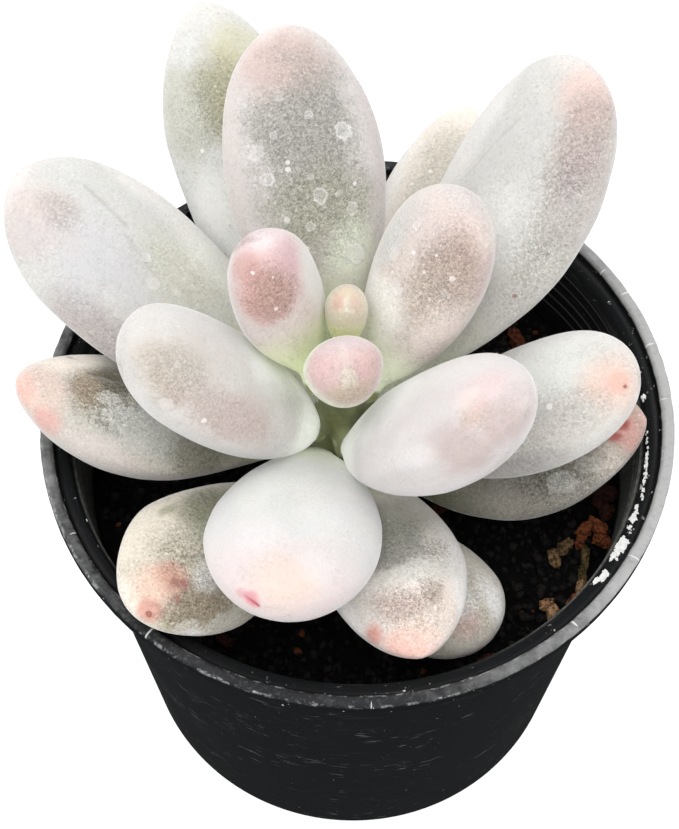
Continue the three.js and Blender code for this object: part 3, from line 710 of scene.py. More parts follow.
def leaf_tree():
    """A grid bent into one closed leaf in its own millimetres: X along it, Y across, Z out of its top."""
    tree, board, given = new_tree("plump_leaf", LEAF_INPUTS)
    length, bend = given["Length"], given["Bend"]
    rows = {"Size X": 1.0, "Size Y": 1.0, "Vertices X": given["Rings"], "Vertices Y": given["Sides"]}
    grid = board.add("GeometryNodeMeshGrid", None, rows)
    row, column, _ = board.parts(board.add("GeometryNodeInputPosition"))
    step = (1 - board.maths("COSINE", (row + 0.5) * math.pi)) * 0.5
    along = (length + LEAF_SINK) * step - LEAF_SINK
    body, size = leaf_outline(board, given, along)

    turn = (column + 0.5) * (2 * math.pi)
    height = board.maths("SINE", turn)
    side = board.maths("SIGN", height)
    lift = side * board.maths("ABSOLUTE", height) ** EDGE_POWER
    half = given["Width"] * 0.5
    across = board.maths("COSINE", turn) * half * size
    out = lift * given["Thickness"] * size * (0.5 - side * (0.5 - UPPER_SHARE))

    reach = (size * half / NIB["radius"]) ** 2.0
    nib = math.e ** (0 - reach) * NIB["height"] * board.maths("GREATER_THAN", body, 0.5)
    lean = bend * along / length
    sine, cosine = board.maths("SINE", lean), board.maths("COSINE", lean)
    forward = sine / bend * length - out * sine + nib * cosine
    upward = (1 - cosine) / bend * length + out * cosine + nib * sine

    shape = board.stored(grid, LEAF_PLACE, board.joined(along, across, out), "FLOAT_VECTOR")
    shape = board.stored(shape, LEAF_SIDE, height)
    shape = board.shaped("GeometryNodeSetPosition", shape, Position=board.joined(forward, across, upward))
    shape = board.shaped("GeometryNodeMergeByDistance", shape, Distance=WELD)
    return finished_tree(tree, board, uneven(board, shape, given), given["Skin"])


def uneven(board, shape, given):
    """The leaf with its skin pushed in and out by a broad swell and a finer pucker."""
    spot = board.add("GeometryNodeInputPosition")
    swell = board.noise(spot, 1 / SWELL_SPAN, 1.0, seed=given["Seed"])
    pucker = board.noise(spot, PUCKER_STRETCH, seed=given["Seed"])
    relief = (swell - 0.5) * given["Swell"] + (pucker - 0.5) * given["Pucker"]
    push = board.vector("SCALE", board.add("GeometryNodeInputNormal"), scale=relief)
    return board.shaped("GeometryNodeSetPosition", shape, Offset=push)


def finished_tree(tree, board, shape, material):
    """Ends a tree: smooth, real meshes with their material."""
    shape = board.shaped("GeometryNodeSetShadeSmooth", shape)
    shape = board.shaped("GeometryNodeRealizeInstances", shape)
    shape = board.shaped("GeometryNodeSetMaterial", shape, Material=material)
    board.add("NodeGroupOutput", None, {"Geometry": shape})
    return tree


def grown_mesh(tree, values, name, source=None):
    """The plain mesh that a tree makes with these inputs, on a source mesh where it needs one."""
    holder = linked(name, source or bpy.data.meshes.new(name))
    modifier = holder.modifiers.new(name, "NODES")
    modifier.node_group = tree
    for socket in tree.interface.items_tree:
        if socket.in_out == "INPUT" and socket.name in values:
            modifier[socket.identifier] = values[socket.name]
    evaluated = holder.evaluated_get(bpy.context.evaluated_depsgraph_get())
    mesh = bpy.data.meshes.new_from_object(evaluated)
    holder.modifiers.clear()
    bpy.data.objects.remove(holder)
    mesh.name = name
    return mesh


def outward(mesh):
    """Turns the faces of a closed mesh to point out."""
    shell = bmesh.new()
    shell.from_mesh(mesh)
    bmesh.ops.recalc_face_normals(shell, faces=shell.faces)
    shell.to_mesh(mesh)
    shell.free()
    return mesh


def add_piece(name, mesh, slot, *nodes):
    """A finished piece at the origin, riding on the plant, in place of the nodes that it stands for."""
    piece = linked(name, mesh)
    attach(piece, BODY)
    if nodes:
        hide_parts(*nodes)
    return piece


def press_creases(mesh, form, creases):
    """Presses narrow grooves into the skin of a leaf, each fading out at its ends."""
    places = mesh.attributes[LEAF_PLACE].data
    for start, end, width, depth in creases:
        first, last = skin_place(form, *start), skin_place(form, *end)
        run = last - first
        for vertex, place in zip(mesh.vertices, places):
            offset = Vector(place.vector) - first
            share = offset.dot(run) / run.length_squared
            away = (offset - run * min(max(share, 0), 1)).length
            if away < 3 * width:
                fade = math.sin(math.pi * min(max(share, 0.02), 0.98)) ** 0.5
                vertex.co -= vertex.normal * depth * fade * math.exp(-((away / width) ** 2))


def make_leaf(tree, name, seed):
    form, look = LEAVES[name], LOOKS[name]
    length, width, thick = (float(part) for part in form["size"])
    detail = LEAF_DETAIL["large" if length > LEAF_DETAIL["small_length"] else "small"]
    values = {
        "Length": length, "Width": width, "Thickness": thick,
        "Bend": max(math.radians(form.get("bend", 0)), STRAIGHT), "Widest": form.get("wide", WIDEST),
        "Taper": float(form.get("taper", TAPER)), "Blunt": float(form.get("blunt", BLUNT)),
        "Swell": width * SWELL, "Pucker": PUCKER, "Seed": seed * SEED_STEP,
        "Rings": detail[0], "Sides": detail[1], "Skin": leaf_skin(name),
    }
    mesh = outward(grown_mesh(tree, values, name + "_form"))
    press_creases(mesh, form, look.get("creases", []))
    mesh.transform(leaf_frame(form))
    return add_piece(name + "_leaf", mesh, "leaf_skin", name)


# Leaf skin
def patch(board, place, wander, centre, reach):
    """1 in the middle of an oval and 0 outside it, with a wandering edge."""
    offset = board.vector("SUBTRACT", place, tuple(centre))
    share = board.vector("LENGTH", board.vector("DIVIDE", offset, (*reach, reach[-1])[:3]))
    return board.ramp(share + wander * PATCH["wander"], *PATCH["edge"])


def scattered_dots(board, spot, span, share, size):
    """Small round specks: how far apart, the share of the cells that has one, and their radius."""
    cell = board.add("ShaderNodeTexVoronoi", None, {"Vector": spot, "Scale": 1 / span})
    chosen, width, _ = board.parts(cell.output("Color"))
    radius = width * size + size * 0.4
    dot = board.ramp(cell * span, radius, radius * 0.55)
    return dot * board.maths("LESS_THAN", chosen, share)


def shade(tint, share):
    """A darker form of a colour."""
    return (*(part * share for part in srgb(tint)[:3]), 1.0)


def skin_patterns(board):
    """The places and the noises that every leaf's skin is made from."""
    place, spot = board.attribute(LEAF_PLACE), board.object_place()
    return SimpleNamespace(
        place=place, spot=spot, along=board.parts(place)[0],
        cloud=board.noise(spot, 1 / CLOUD_SPAN, 3.0, 0.6) - 0.5,
        grain=board.noise(spot, 1 / GRAIN_SPAN, 3.0, 0.65, GRAIN_CURL) - 0.5,
        clump=board.noise(spot, 1 / CLUMP_SPAN, 3.0, 0.65, GRAIN_CURL) - 0.5,
        wrinkle=board.noise(place, WRINKLE_STRETCH, 3.0, 0.6) - 0.5,
        streak=board.noise(place, STREAK_STRETCH, 3.0, 0.6) - 0.5,
        under=board.ramp(board.attribute(LEAF_SIDE, "Fac"), *UNDERSIDE),
    )


def stained(board, powder, flesh, share, tint, flesh_share=None):
    """The powder and the flesh with a tint on both, darker on the flesh."""
    flesh_share = share if flesh_share is None else flesh_share
    return board.mix(share, powder, tint), board.mix(flesh_share, flesh, shade(tint, FLESH_SHADE))


def leaf_layers(board, form, look, skin):
    """The colours of the powder and of the flesh, how near the root a place is, and the painted glow near
    the root.
    """
    length = form["size"][0]
    powder, flesh = look["powder"], look["flesh"]
    powder = board.mix(board.ramp(skin.cloud, *CLOUD_RAMP), powder, shade(powder, CLOUD_SHADE))
    wandering = skin.along + skin.cloud * min(6, length * 0.15)
    tint, reach = look["root"]
    near = board.ramp(wandering, reach, reach * look.get("root_fade", 0.3))
    powder, flesh = stained(board, powder, flesh, near, tint)
    tint, reach = look["tip"]
    end = board.ramp(wandering, length - reach, length)
    powder, flesh = stained(board, powder, flesh, end * TIP["powder"], tint, end * TIP["flesh"])
    nub = board.ramp(skin.along, NECK["green"][1], NECK["green"][0])
    powder, flesh = stained(board, powder, flesh, nub, NECK["tint"])
    for tint, centre, reach, strength in look["flushes"]:
        share = patch(board, skin.place, skin.cloud, skin_place(form, *centre), reach)
        powder, flesh = stained(board, powder, flesh, share * (strength / 100), tint)
    stain = board.ramp(skin.streak + skin.cloud, 0.0, 0.3) * skin.under * 0.5
    # Painted glow: the root's tint given off as light near the stem, standing in for light through and
    # between the leaves
    glow = board.mix(near * (1 - nub), "000000", look["root"][0])
    return board.mix(stain, powder, look["flesh"]), flesh, near, glow


def bare_skin(board, form, look, skin, near):
    """How thin the powder is: by its clumps, streaked under the leaf, and rubbed in places."""
    bare = skin.cloud * 0.25 + skin.clump * 0.4 + look["worn"] + near * skin.wrinkle * 1.6
    bare = bare + skin.under * (skin.streak * 0.9 + skin.cloud * 0.5 + 0.1)
    for centre, reach, strength in look.get("rubs", []):
        share = patch(board, skin.place, skin.cloud, skin_place(form, *centre), reach)
        bare = bare + share * (strength / 100)
    return board.clamped(bare, *BARE)


def leaf_skin(name):
    """Powder over flesh: where it is thin or rubbed, the flesh shows between its grains."""
    form, look = LEAVES[name], LOOKS[name]
    material, board = new_material(name + "_skin")
    skin = skin_patterns(board)
    grain = skin.grain
    powder, flesh, near, glow = leaf_layers(board, form, look, skin)
    bare = bare_skin(board, form, look, skin, near)
    cover = 1 - bare + grain * bare * (1.2 - bare) * GRAIN_CONTRAST
    for centre, reach in look.get("flakes", []):
        share = patch(board, skin.place, skin.clump * 1.5, skin_place(form, *centre), reach)
        flake = board.ramp(share + skin.clump * 1.2, 0.4, 0.65)
        cover = board.larger(cover, flake * (grain * 1.5 + 0.75))
        powder = board.mix(flake * 0.5, powder, FILM)
    cover = board.clamped(cover, *COVER)
    colour = board.mix(board.smaller(cover, 1.0), flesh, powder)
    shading = (1 + grain * (bare * GRAIN_DEPTH + GRAIN_FAINT)) * look.get("lift", 1.0)
    colour = board.vector("SCALE", colour, scale=shading)
    share = look.get("specks", SPECK["usual_share"])
    specks = scattered_dots(board, skin.spot, SPECK["apart"], share, SPECK["radius"])
    colour = board.mix(specks * 0.45, colour, WHITE)
    height = grain * 0.6 + cover * 0.4 + specks * 0.3 + near * skin.wrinkle * 3
    colour, height = leaf_marks(board, form, look, skin, colour, height)
    surface(
        board, height, GRAIN_RELIEF, base_color=colour, roughness=cover * 0.12 + 0.42,
        subsurface_weight=0.5, subsurface_radius=(1.0, 0.85, 0.65), subsurface_scale=3.5 * MM,
        sheen_weight=1.0, sheen_roughness=0.3, specular_ior_level=0.3,
        # The emission is the painted glow near the root
        emission_color=glow, emission_strength=look.get("glow", ROOT_PAINTED_GLOW),
    )
    return material


def leaf_marks(board, form, look, skin, colour, height):
    """The skin's colour and height with its drop marks, and its creases painted darker as painted shade, in
    the leaf's own crease tint where it has one.
    """
    for centre, radius, kind in look.get("drops", []):
        away = board.distance(skin.place, tuple(skin_place(form, *centre)))
        away = away + skin.clump * radius * (3.0 if kind == "pit" else 1.5)
        colour, height = drop_mark(board, colour, height, away, radius, kind)
    for start, end, width, depth in look.get("creases", []):
        line = crease_line(board, skin.place, skin_place(form, *start), skin_place(form, *end), width)
        # Painted shade along each crease, dark olive unless the leaf gives a crease tint of its own
        colour = board.mix(line * min(depth * 1.8, 0.8), colour, look.get("crease_tint", DARK_OLIVE))
    return colour, height


def drop_mark(board, colour, height, away, radius, kind):
    """A mark that a drop of water or a speck has left in the powder."""
    inside = board.ramp(away, radius, radius * 0.75)
    ring = inside * board.ramp(away, radius * 0.5, radius * 0.8)
    if kind in ("pit", "rust"):
        return board.mix(inside * MARKS[kind], colour, BRICK if kind == "pit" else RUST), height - inside
    if kind == "ring":
        return board.mix(ring * MARKS["ring"] + inside * MARKS["disc"], colour, WHITE), height + ring
    return board.mix(inside * MARKS[kind], colour, WHITE), height + inside * 0.4


def crease_line(board, place, first, last, width):
    """1 along the line between two places and 0 away from it."""
    run = last - first
    offset = board.vector("SUBTRACT", place, tuple(first))
    share = board.clamped(board.vector("DOT_PRODUCT", offset, tuple(run)) / run.length_squared, 0.0, 1.0)
    away = board.distance(offset, board.vector("SCALE", tuple(run), scale=share))
    return board.ramp(away, width * 1.1, 0.0)


# Turned and ringed meshes
def ringed_mesh(name, rings, first, last):
    """A closed skin through rings of points in millimetres, with an end point at either side."""
    points = [point for ring in rings for point in ring] + [first, last]
    sides = len(rings[0])
    faces = []
    for ring in range(len(rings) - 1):
        for side in range(sides):
            a, b = ring * sides + side, ring * sides + (side + 1) % sides
            faces.append((a, b, b + sides, a + sides))
    top = (len(rings) - 1) * sides
    for side in range(sides):
        after = (side + 1) % sides
        faces.append((len(points) - 2, after, side))
        faces.append((len(points) - 1, top + side, top + after))
    mesh = bpy.data.meshes.new(name)
    mesh.from_pydata([Vector(point) * MM for point in points], [], faces)
    mesh.shade_smooth()
    return outward(mesh)


def circle(x, y, z, radius, sides):
    turns = [2 * math.pi * side / sides for side in range(sides)]
    return [(x + radius * math.cos(turn), y + radius * math.sin(turn), z) for turn in turns]


# The pot
NECK_HEIGHT = POT["height"] - LIP["depth"]
MOUTH = POT["rim"] - LIP["width"]
AXIS = 0.01


def outer_radius(z):
    return POT["foot"] + (POT["neck"] - POT["foot"]) * z / NECK_HEIGHT


def inner_radius(z):
    return outer_radius(z) - POT["wall"]


def rounded(profile, radius, steps):
    """The profile with each inner corner turned into a small arc-like curve."""
    smooth = [Vector(profile[0])]
    for before, corner, after in zip(profile, profile[1:], profile[2:]):
        before, corner, after = Vector(before), Vector(corner), Vector(after)
        back, ahead = before - corner, after - corner
        cut = min(radius, back.length * 0.45, ahead.length * 0.45)
        start, end = corner + back.normalized() * cut, corner + ahead.normalized() * cut
        for step in range(steps + 1):
            share = step / steps
            smooth.append(start.lerp(corner, share).lerp(corner.lerp(end, share), share))
    return smooth + [Vector(profile[-1])]


def evened(profile, step):
    """The profile with long stretches cut into steps and held flat near their ends."""
    even = [profile[0]]
    for last, point in zip(profile, profile[1:]):
        stretch = (point - last).length
        count = max(1, math.ceil(stretch / step))
        shares = [(index + 1) / count for index in range(count)]
        if stretch > 1:
            hold = POT_DETAIL["hold"] / stretch
            shares = [hold, *shares[:-1], 1 - hold, 1]
        even += [last.lerp(point, share) for share in shares]
    return even


def pot_profile():
    """From the middle of the underside, up the outside, over the lip and down the inside."""
    height, rim, foot = POT["height"], POT["rim"], POT["foot"]
    corner = LIP["round"]
    outside = [(AXIS, 0), (foot - POT["chamfer"], 0), (foot, POT["chamfer"])]
    outside += [(POT["neck"], NECK_HEIGHT), (rim - corner, NECK_HEIGHT)]
    lip = [(rim, NECK_HEIGHT + corner), (rim, height - corner), (rim - corner, height)]
    mouth = [(MOUTH + corner, height), (MOUTH, height - corner), (MOUTH - corner, height - LIP["bevel"])]
    ledges = [(inner_radius(LEDGES["first"]) + LEDGES["top"], height - LIP["bevel"] - corner)]
    for ledge in range(LEDGES["count"]):
        z = LEDGES["first"] - ledge * LEDGES["pitch"]
        drop = LEDGES["drop"]
        ledges += [(inner_radius(z) + drop, z), (inner_radius(z - drop), z - drop)]
    inside = [(inner_radius(POT["floor"]), POT["floor"]), (AXIS, POT["floor"])]
    soft = rounded([*outside, *lip, *mouth, *ledges, *inside], POT_DETAIL["corner"], POT_DETAIL["arc"])
    return evened(soft, POT_DETAIL["step"])


def make_pot():
    """The pot as a turned wall, a little out of round, with small nicks in its lip."""
    rings, round_scale = [], POT_WEAR["nicks_round"]
    for radius, z in pot_profile():
        high = min(max((z - NECK_HEIGHT) / LIP["depth"], 0), 1)
        ring = []
        for x, y, _ in circle(0, 0, z, 1, POT_DETAIL["sides"]):
            turn = math.atan2(y, x)
            wave = POT_WEAR["wave"] * math.sin(2 * turn + 0.6) * z / POT["height"]
            spot = Vector((x * round_scale, y * round_scale, z * POT_WEAR["nicks_up"]))
            nick = noise.noise(spot) * POT_WEAR["nick"] * high
            reach = radius + wave * min(radius / 10, 1) + min(nick, POT_WEAR["proud"])
            ring.append((x * reach, y * reach, z - abs(nick) * 0.6 * high))
        rings.append(ring)
    mesh = ringed_mesh("pot_wall", rings, (0, 0, 0), (0, 0, POT["floor"]))
    mesh = cut_drain_holes(mesh)
    mesh.materials.clear()
    mesh.materials.append(pot_plastic())
    return add_piece("nursery_pot", mesh, "pot_plastic", "pot")


def cut_drain_holes(mesh):
    """The pot's mesh with a round hole cut for each drain."""
    drills = bmesh.new()
    for centre in circle(0, 0, POT["floor"] / 2, DRAIN["circle"], DRAIN["count"]):
        bmesh.ops.create_cone(
            drills, cap_ends=True, segments=32, radius1=DRAIN["radius"] * MM, radius2=DRAIN["radius"] * MM,
            depth=POT["floor"] * 3 * MM, matrix=Matrix.Translation(Vector(centre) * MM),
        )
    pot = linked("uncut_pot", mesh)
    drill = linked("drain_drills", shell_mesh("drain_drills", drills))
    cut = pot.modifiers.new("drain", "BOOLEAN")
    cut.operation, cut.solver, cut.object = "DIFFERENCE", "EXACT", drill
    bpy.context.view_layer.update()
    made = bpy.data.meshes.new_from_object(pot.evaluated_get(bpy.context.evaluated_depsgraph_get()))
    for item in (pot, drill):
        bpy.data.objects.remove(item)
    return made


def wall_places(board):
    """Where a point is on the pot, its radius and its turn as a length round the rim, with fine noise."""
    place = board.object_place()
    x, y, z = board.parts(place)
    radius = board.vector("LENGTH", board.joined(x, y, 0.0))
    turn = board.maths("ARCTAN2", y, x) * POT["rim"]
    fine = board.noise(place, 1.6, 4.0, 0.65)
    return SimpleNamespace(place=place, x=x, y=y, z=z, radius=radius, turn=turn, fine=fine)


def scratched_wall(board, wall):
    """Black plastic with dust, faint streaks and short scratches that run round it."""
    unrolled = board.joined(wall.turn, wall.radius, wall.z)
    streaks = board.noise(unrolled, STREAKS, 4.0, 0.7)
    dashes = board.noise(unrolled, DASHES, 1.0, 0.4)
    dust = board.ramp(board.noise(wall.place, 0.09, 3.0) + wall.fine * 0.3, 0.5, 0.9)
    colour = board.mix(dust * 0.3, PLASTIC["black"], PLASTIC["dusty"])
    colour = board.mix(board.ramp(streaks, 0.63, 0.72) * 0.4, colour, PLASTIC["streak"])
    rubbed = board.ramp(board.noise(wall.place, 0.11, 2.0), 0.47, 0.6)
    scratch = board.ramp(dashes, 0.68, 0.74) * rubbed * board.ramp(wall.z, *WORN["scratched"])
    return board.mix(scratch * 0.5, colour, PLASTIC["scratch"]), dust, streaks, scratch


def painted_inside(board, wall, colour):
    """The inner wall's painted grey reflection and painted highlight lines by its ledges, and white patches
    on its shoulder; also where it is dull.
    """
    depth = wall.radius - outer_radius(wall.z)
    inside = board.ramp(depth, *WORN["inside"]) * board.ramp(wall.z, *WORN["reflection_height"])
    # Painted reflection: the inner wall lightened with grey below the lip, most on the right and less on the
    # left
    inner_reflection = board.mix(board.ramp(wall.fine, 0.3, 0.7), *PLASTIC["inner_reflection"])
    right, left = board.ramp(wall.x, *WORN["reflection_right"]), board.ramp(wall.x, *WORN["reflection_left"])
    dusty = board.larger(right, left * 0.6) * board.ramp(wall.y, *WORN["reflection_front"])
    dusty = dusty * board.ramp(wall.z, *WORN["reflection_top"])
    colour = board.mix(inside * dusty * 0.85, colour, inner_reflection)
    # Painted highlights: thin light lines along the inner wall by its ledges
    for line in range(LEDGE_HIGHLIGHTS["count"]):
        level = LEDGES["first"] - (line + LEDGE_HIGHLIGHTS["start"]) * LEDGES["pitch"]
        away = board.maths("ABSOLUTE", wall.z - level)
        colour = board.mix(board.ramp(away, 0.3, 0.1) * inside * 0.7, colour, PLASTIC["ledge_highlight"])
    # White patches on the shoulder, on the right towards the front
    shoulder = board.ramp(wall.radius, MOUTH - 0.5, MOUTH - 1.2) * board.ramp(wall.z, *WORN["flecks_height"])
    flecked = shoulder * board.ramp(wall.x, *WORN["flecks_right"]) * board.ramp(wall.y, *WORN["flecks_front"])
    lime = board.ramp(board.noise(wall.place, 0.6, 4.0, 0.7), 0.62, 0.65) * flecked
    return board.mix(lime * 0.9, colour, PLASTIC["lime"]), board.larger(inside, shoulder)


def worn_lip(board, wall, colour):
    """The lip's scuffed flat top with a painted reflection that lightens it to the sides and most to the
    right, and the bright nicks on its edges; also where the top and the nicks are.
    """
    place, radius, z = wall.place, wall.radius, wall.z
    top = board.ramp(z, POT["height"] - 0.7, POT["height"] - 0.25) * board.ramp(radius, MOUTH - 0.4, MOUTH)
    # Lighter towards the left and right sides and most to the right: a painted reflection over the grey
    # scuffs
    worn = board.noise(place, 0.3, 4.0, 0.65) * 0.6 + 0.2 + wall.x * wall.x / 3600 + wall.x / 200
    scuffs_and_reflection = board.mix(board.ramp(worn, 0.5, 1.1), *PLASTIC["lip"])
    scuffs_and_reflection = board.mix(board.ramp(wall.fine, 0.5, 0.7) * 0.3, scuffs_and_reflection, PLASTIC["lip_dust"])
    colour = board.mix(top * 0.95, colour, scuffs_and_reflection)
    outer_edge = board.ramp(radius, POT["rim"] - 0.35, POT["rim"] - 0.15)
    edge = board.larger(outer_edge, board.ramp(radius, MOUTH + 0.3, MOUTH + 0.1))
    bright = board.ramp(board.noise(place, 0.7, 3.0, 0.7), 0.5, 0.62) * edge * top
    colour = board.mix(bright * 0.5, colour, PLASTIC["edge"])
    chips = board.ramp(board.noise(place, 0.9, 5.0, 0.75), 0.64, 0.68)
    ticks = board.ramp(board.noise(board.joined(wall.turn * 1.3, radius * 0.12, 0.0), 1.0, 1.0), 0.7, 0.72)
    nicks = chips * edge * board.ramp(z, NECK_HEIGHT, NECK_HEIGHT + 0.8)
    nicks = board.larger(nicks, ticks * top * 0.7)
    return board.mix(nicks, colour, PLASTIC["nick"]), top, nicks


def pot_plastic():
    """Thin black plastic: scratched and dusty, with a painted reflection and painted highlight lines inside,
    and a scuffed lip lightened by a painted reflection.
    """
    material, board = new_material("scuffed_black_plastic")
    wall = wall_places(board)
    colour, dust, streaks, scratch = scratched_wall(board, wall)
    colour, dull = painted_inside(board, wall, colour)
    colour, top, nicks = worn_lip(board, wall, colour)
    specks = board.ramp(board.noise(wall.place, 2.3, 2.0), 0.75, 0.78)
    colour = board.mix(specks * 0.5, colour, PLASTIC["speck"])
    rough = 0.36 + dust * 0.2 + top * 0.15 + dull * 0.5
    height = streaks * 0.5 + wall.fine * 0.4 - nicks - scratch * 0.5
    surface(board, height, 0.05, base_color=colour, roughness=rough, specular_ior_level=0.22)
    return material


# The potting mix
def mix_height(x, y):
    """The gentle hills of the mix, as in the CAD."""
    swell = math.sin(x / 5 + 1) * math.cos(y / 4) + 0.6 * math.sin(y / 2.3 + x / 7)
    return SOIL_TOP + 0.55 * swell


def rough_mix_height(x, y):
    """The hills with the mix's own roughness on them."""
    height = mix_height(x, y)
    for scale, fading, depth in MIX_ROUGHNESS:
        height += noise.fractal(Vector((x, y, 0.0)) * scale, fading, 2.0, 3) * depth
    return height


def make_mix_bed():
    """The mix from the pot's floor up to its rough top, a little clear of the wall."""
    sides, count, gap = MIX["sides"], MIX["rings"], MIX["gap"]
    edge = inner_radius(SOIL_TOP) - gap
    base, shoulder = POT["floor"] + gap, SOIL_TOP - MIX["skirt"]
    rings = [circle(0, 0, base, inner_radius(base) - gap, sides)]
    for share in MIX["levels"]:
        z = base + (shoulder - base) * share
        rings.append(circle(0, 0, z, inner_radius(z) - gap, sides))
    rings.append(circle(0, 0, shoulder, edge, sides))
    for index in range(count, 0, -1):
        level = circle(0, 0, 0, edge * index / count, sides)
        rings.append([(x, y, rough_mix_height(x, y)) for x, y, _ in level])
    mesh = ringed_mesh("mix_bed", rings, (0, 0, base), (0, 0, rough_mix_height(0, 0)))
    mesh.materials.append(mix_finish())
    return add_piece("potting_mix_bed", mesh, "potting_mix", "potting_mix")


def mix_finish():
    """Nearly black damp mix with greyish fibres."""
    material, board = new_material("damp_mix")
    place = board.object_place()
    coarse = board.noise(place, 0.45, 4.0, 0.6)
    fine = board.noise(place, 2.2, 4.0, 0.7)
    colour = board.mix(board.ramp(coarse, 0.4, 0.75), "030303", "110e0c")
    colour = board.mix(board.ramp(fine, 0.6, 0.72) * 0.6, colour, "35322f")
    surface(board, fine + coarse, 0.6, base_color=colour, roughness=0.8, specular_ior_level=0.15)
    return material


CRUMB_INPUTS = {
    "Geometry": "Geometry", "Density": "Float", "Seed": "Int", "Smallest": "Float", "Largest": "Float",
    "Lumps": "Collection", "Finish": "Material",
}


def crumb_tree():
    """Scatters lumps over a surface, each turned and sized at random, with a tone of its own."""
    tree, board, given = new_tree("scattered_crumbs", CRUMB_INPUTS)
    scatter = {"Mesh": given["Geometry"], "Density": given["Density"], "Seed": given["Seed"]}
    points = board.add("GeometryNodeDistributePointsOnFaces", None, scatter, "Points")
    picked = {"Collection": given["Lumps"], "Separate Children": True, "Reset Children": True}
    lumps = board.add("GeometryNodeCollectionInfo", None, picked)
    turn = board.add("FunctionNodeRandomValue", {"data_type": "FLOAT_VECTOR"}, {1: ANY_TURN, "Seed": 1})
    sizes = {2: given["Smallest"], 3: given["Largest"], "Seed": 2}
    size = board.add("FunctionNodeRandomValue", {"data_type": "FLOAT"}, sizes, 1)
    placed = {"Points": points, "Instance": lumps, "Pick Instance": True, "Rotation": turn, "Scale": size}
    crumbs = board.add("GeometryNodeInstanceOnPoints", None, placed)
    tone = board.add("FunctionNodeRandomValue", {"data_type": "FLOAT"}, {"Seed": 3}, 1)
    crumbs = board.stored(crumbs, TONE, tone, domain="INSTANCE")
    return finished_tree(tree, board, crumbs, given["Finish"])


def lump_mesh(name, seed, flatness):
    """A small rough grain about one unit across."""
    shell = bmesh.new()
    bmesh.ops.create_icosphere(shell, subdivisions=1, radius=0.5)
    for vertex in shell.verts:
        bulge = noise.noise(vertex.co * LUMP["scale"] + Vector((seed * 7.3, 0, 0)))
        vertex.co *= 1 + LUMP["rough"] * bulge
        vertex.co.z *= flatness
        vertex.co.y *= 1 - LUMP["slim"] * (seed % 2)
    return shell_mesh(name, shell)


def lump_collection():
    """The grains to scatter, kept out of the scene."""
    lumps = bpy.data.collections.new("coarse_lumps")
    for index, flatness in enumerate(LUMP["flatness"]):
        mesh = lump_mesh(f"coarse_lumps_{index}", index + 1, flatness)
        lumps.objects.link(bpy.data.objects.new(mesh.name, mesh))
    return lumps


def mix_top(reach):
    """The open top of the mix in millimetres, to scatter on."""
    shell = bmesh.new()
    bmesh.ops.create_grid(shell, x_segments=50, y_segments=50, size=reach)
    outside = [vertex for vertex in shell.verts if vertex.co.length > reach]
    bmesh.ops.delete(shell, geom=outside, context="VERTS")
    for vertex in shell.verts:
        vertex.co.z = rough_mix_height(vertex.co.x, vertex.co.y)
    return shell_mesh("mix_top", shell)


def scatter_crumbs():
    """All that lies loose on the mix."""
    tree, lumps = crumb_tree(), lump_collection()
    for seed, (name, finish, dark, light, density, smallest, largest) in enumerate(CRUMBS, FIRST_CRUMB_SEED):
        values = {
            "Density": density, "Seed": seed, "Smallest": smallest, "Largest": largest,
            "Lumps": lumps, "Finish": crumb_finish(finish, dark, light),
        }
        mesh = grown_mesh(tree, values, name, mix_top(MIX["reach"]))
        mesh.transform(TO_METRES)
        add_piece(name, mesh, "potting_mix")
    for lump in list(lumps.objects):
        bpy.data.objects.remove(lump)
    bpy.data.collections.remove(lumps)


def crumb_finish(name, dark, light, spread=0.6):
    """Grains from dark to light: spread is how much of that is each grain's own tone."""
    material, board = new_material(name)
    tone = board.attribute(TONE, "Fac")
    fine = board.noise(board.object_place(), 2.5, 3.0, 0.6)
    colour = board.mix(board.ramp(tone * spread + fine * (1 - spread), 0.2, 0.8), dark, light)
    surface(board, fine, 0.15, base_color=colour, roughness=0.85, specular_ior_level=0.2)
    return material


def make_bark():
    """The bark chips that show beside the leaves, each where it lies on the mix."""
    noise.seed_set(SEED)  # without it, the vector noise starts from the clock
    shell = bmesh.new()
    tone_layer = shell.verts.layers.float.new(TONE)
    for index, (x, y, turn, tilt, size, tone) in enumerate(BARK_CHIPS):
        lie = Matrix.Translation((x, y, mix_height(x, y) + size[2] * CHIP["raised"] + CHIP["above"]))
        lie = lie @ Matrix.Rotation(math.radians(turn), 4, "Z") @ Matrix.Rotation(math.radians(tilt), 4, "Y")
        for vertex in bmesh.ops.create_icosphere(shell, subdivisions=4, radius=1.0)["verts"]:
            boxy = sum(abs(part) ** CHIP["square"] for part in vertex.co) ** (-1 / CHIP["square"])
            spot = vertex.co * CHIP["scale"] + Vector((index * CHIP["apart"], 0, 0))
            rough = Vector()
            for scale, depth in CHIP_ROUGHNESS:
                rough += noise.noise_vector(spot * scale) * depth
            worn = vertex.co * boxy * 0.5 + rough * 0.5
            vertex.co = lie @ Vector((worn.x * size[0], worn.y * size[1], worn.z * size[2]))
            vertex[tone_layer] = tone
    mesh = shell_mesh("bark_chips", shell)
    mesh.transform(TO_METRES)
    mesh.shade_smooth()
    outward(mesh)
    mesh.materials.append(bark_finish())
    return add_piece("bark_chips", mesh, "potting_mix")


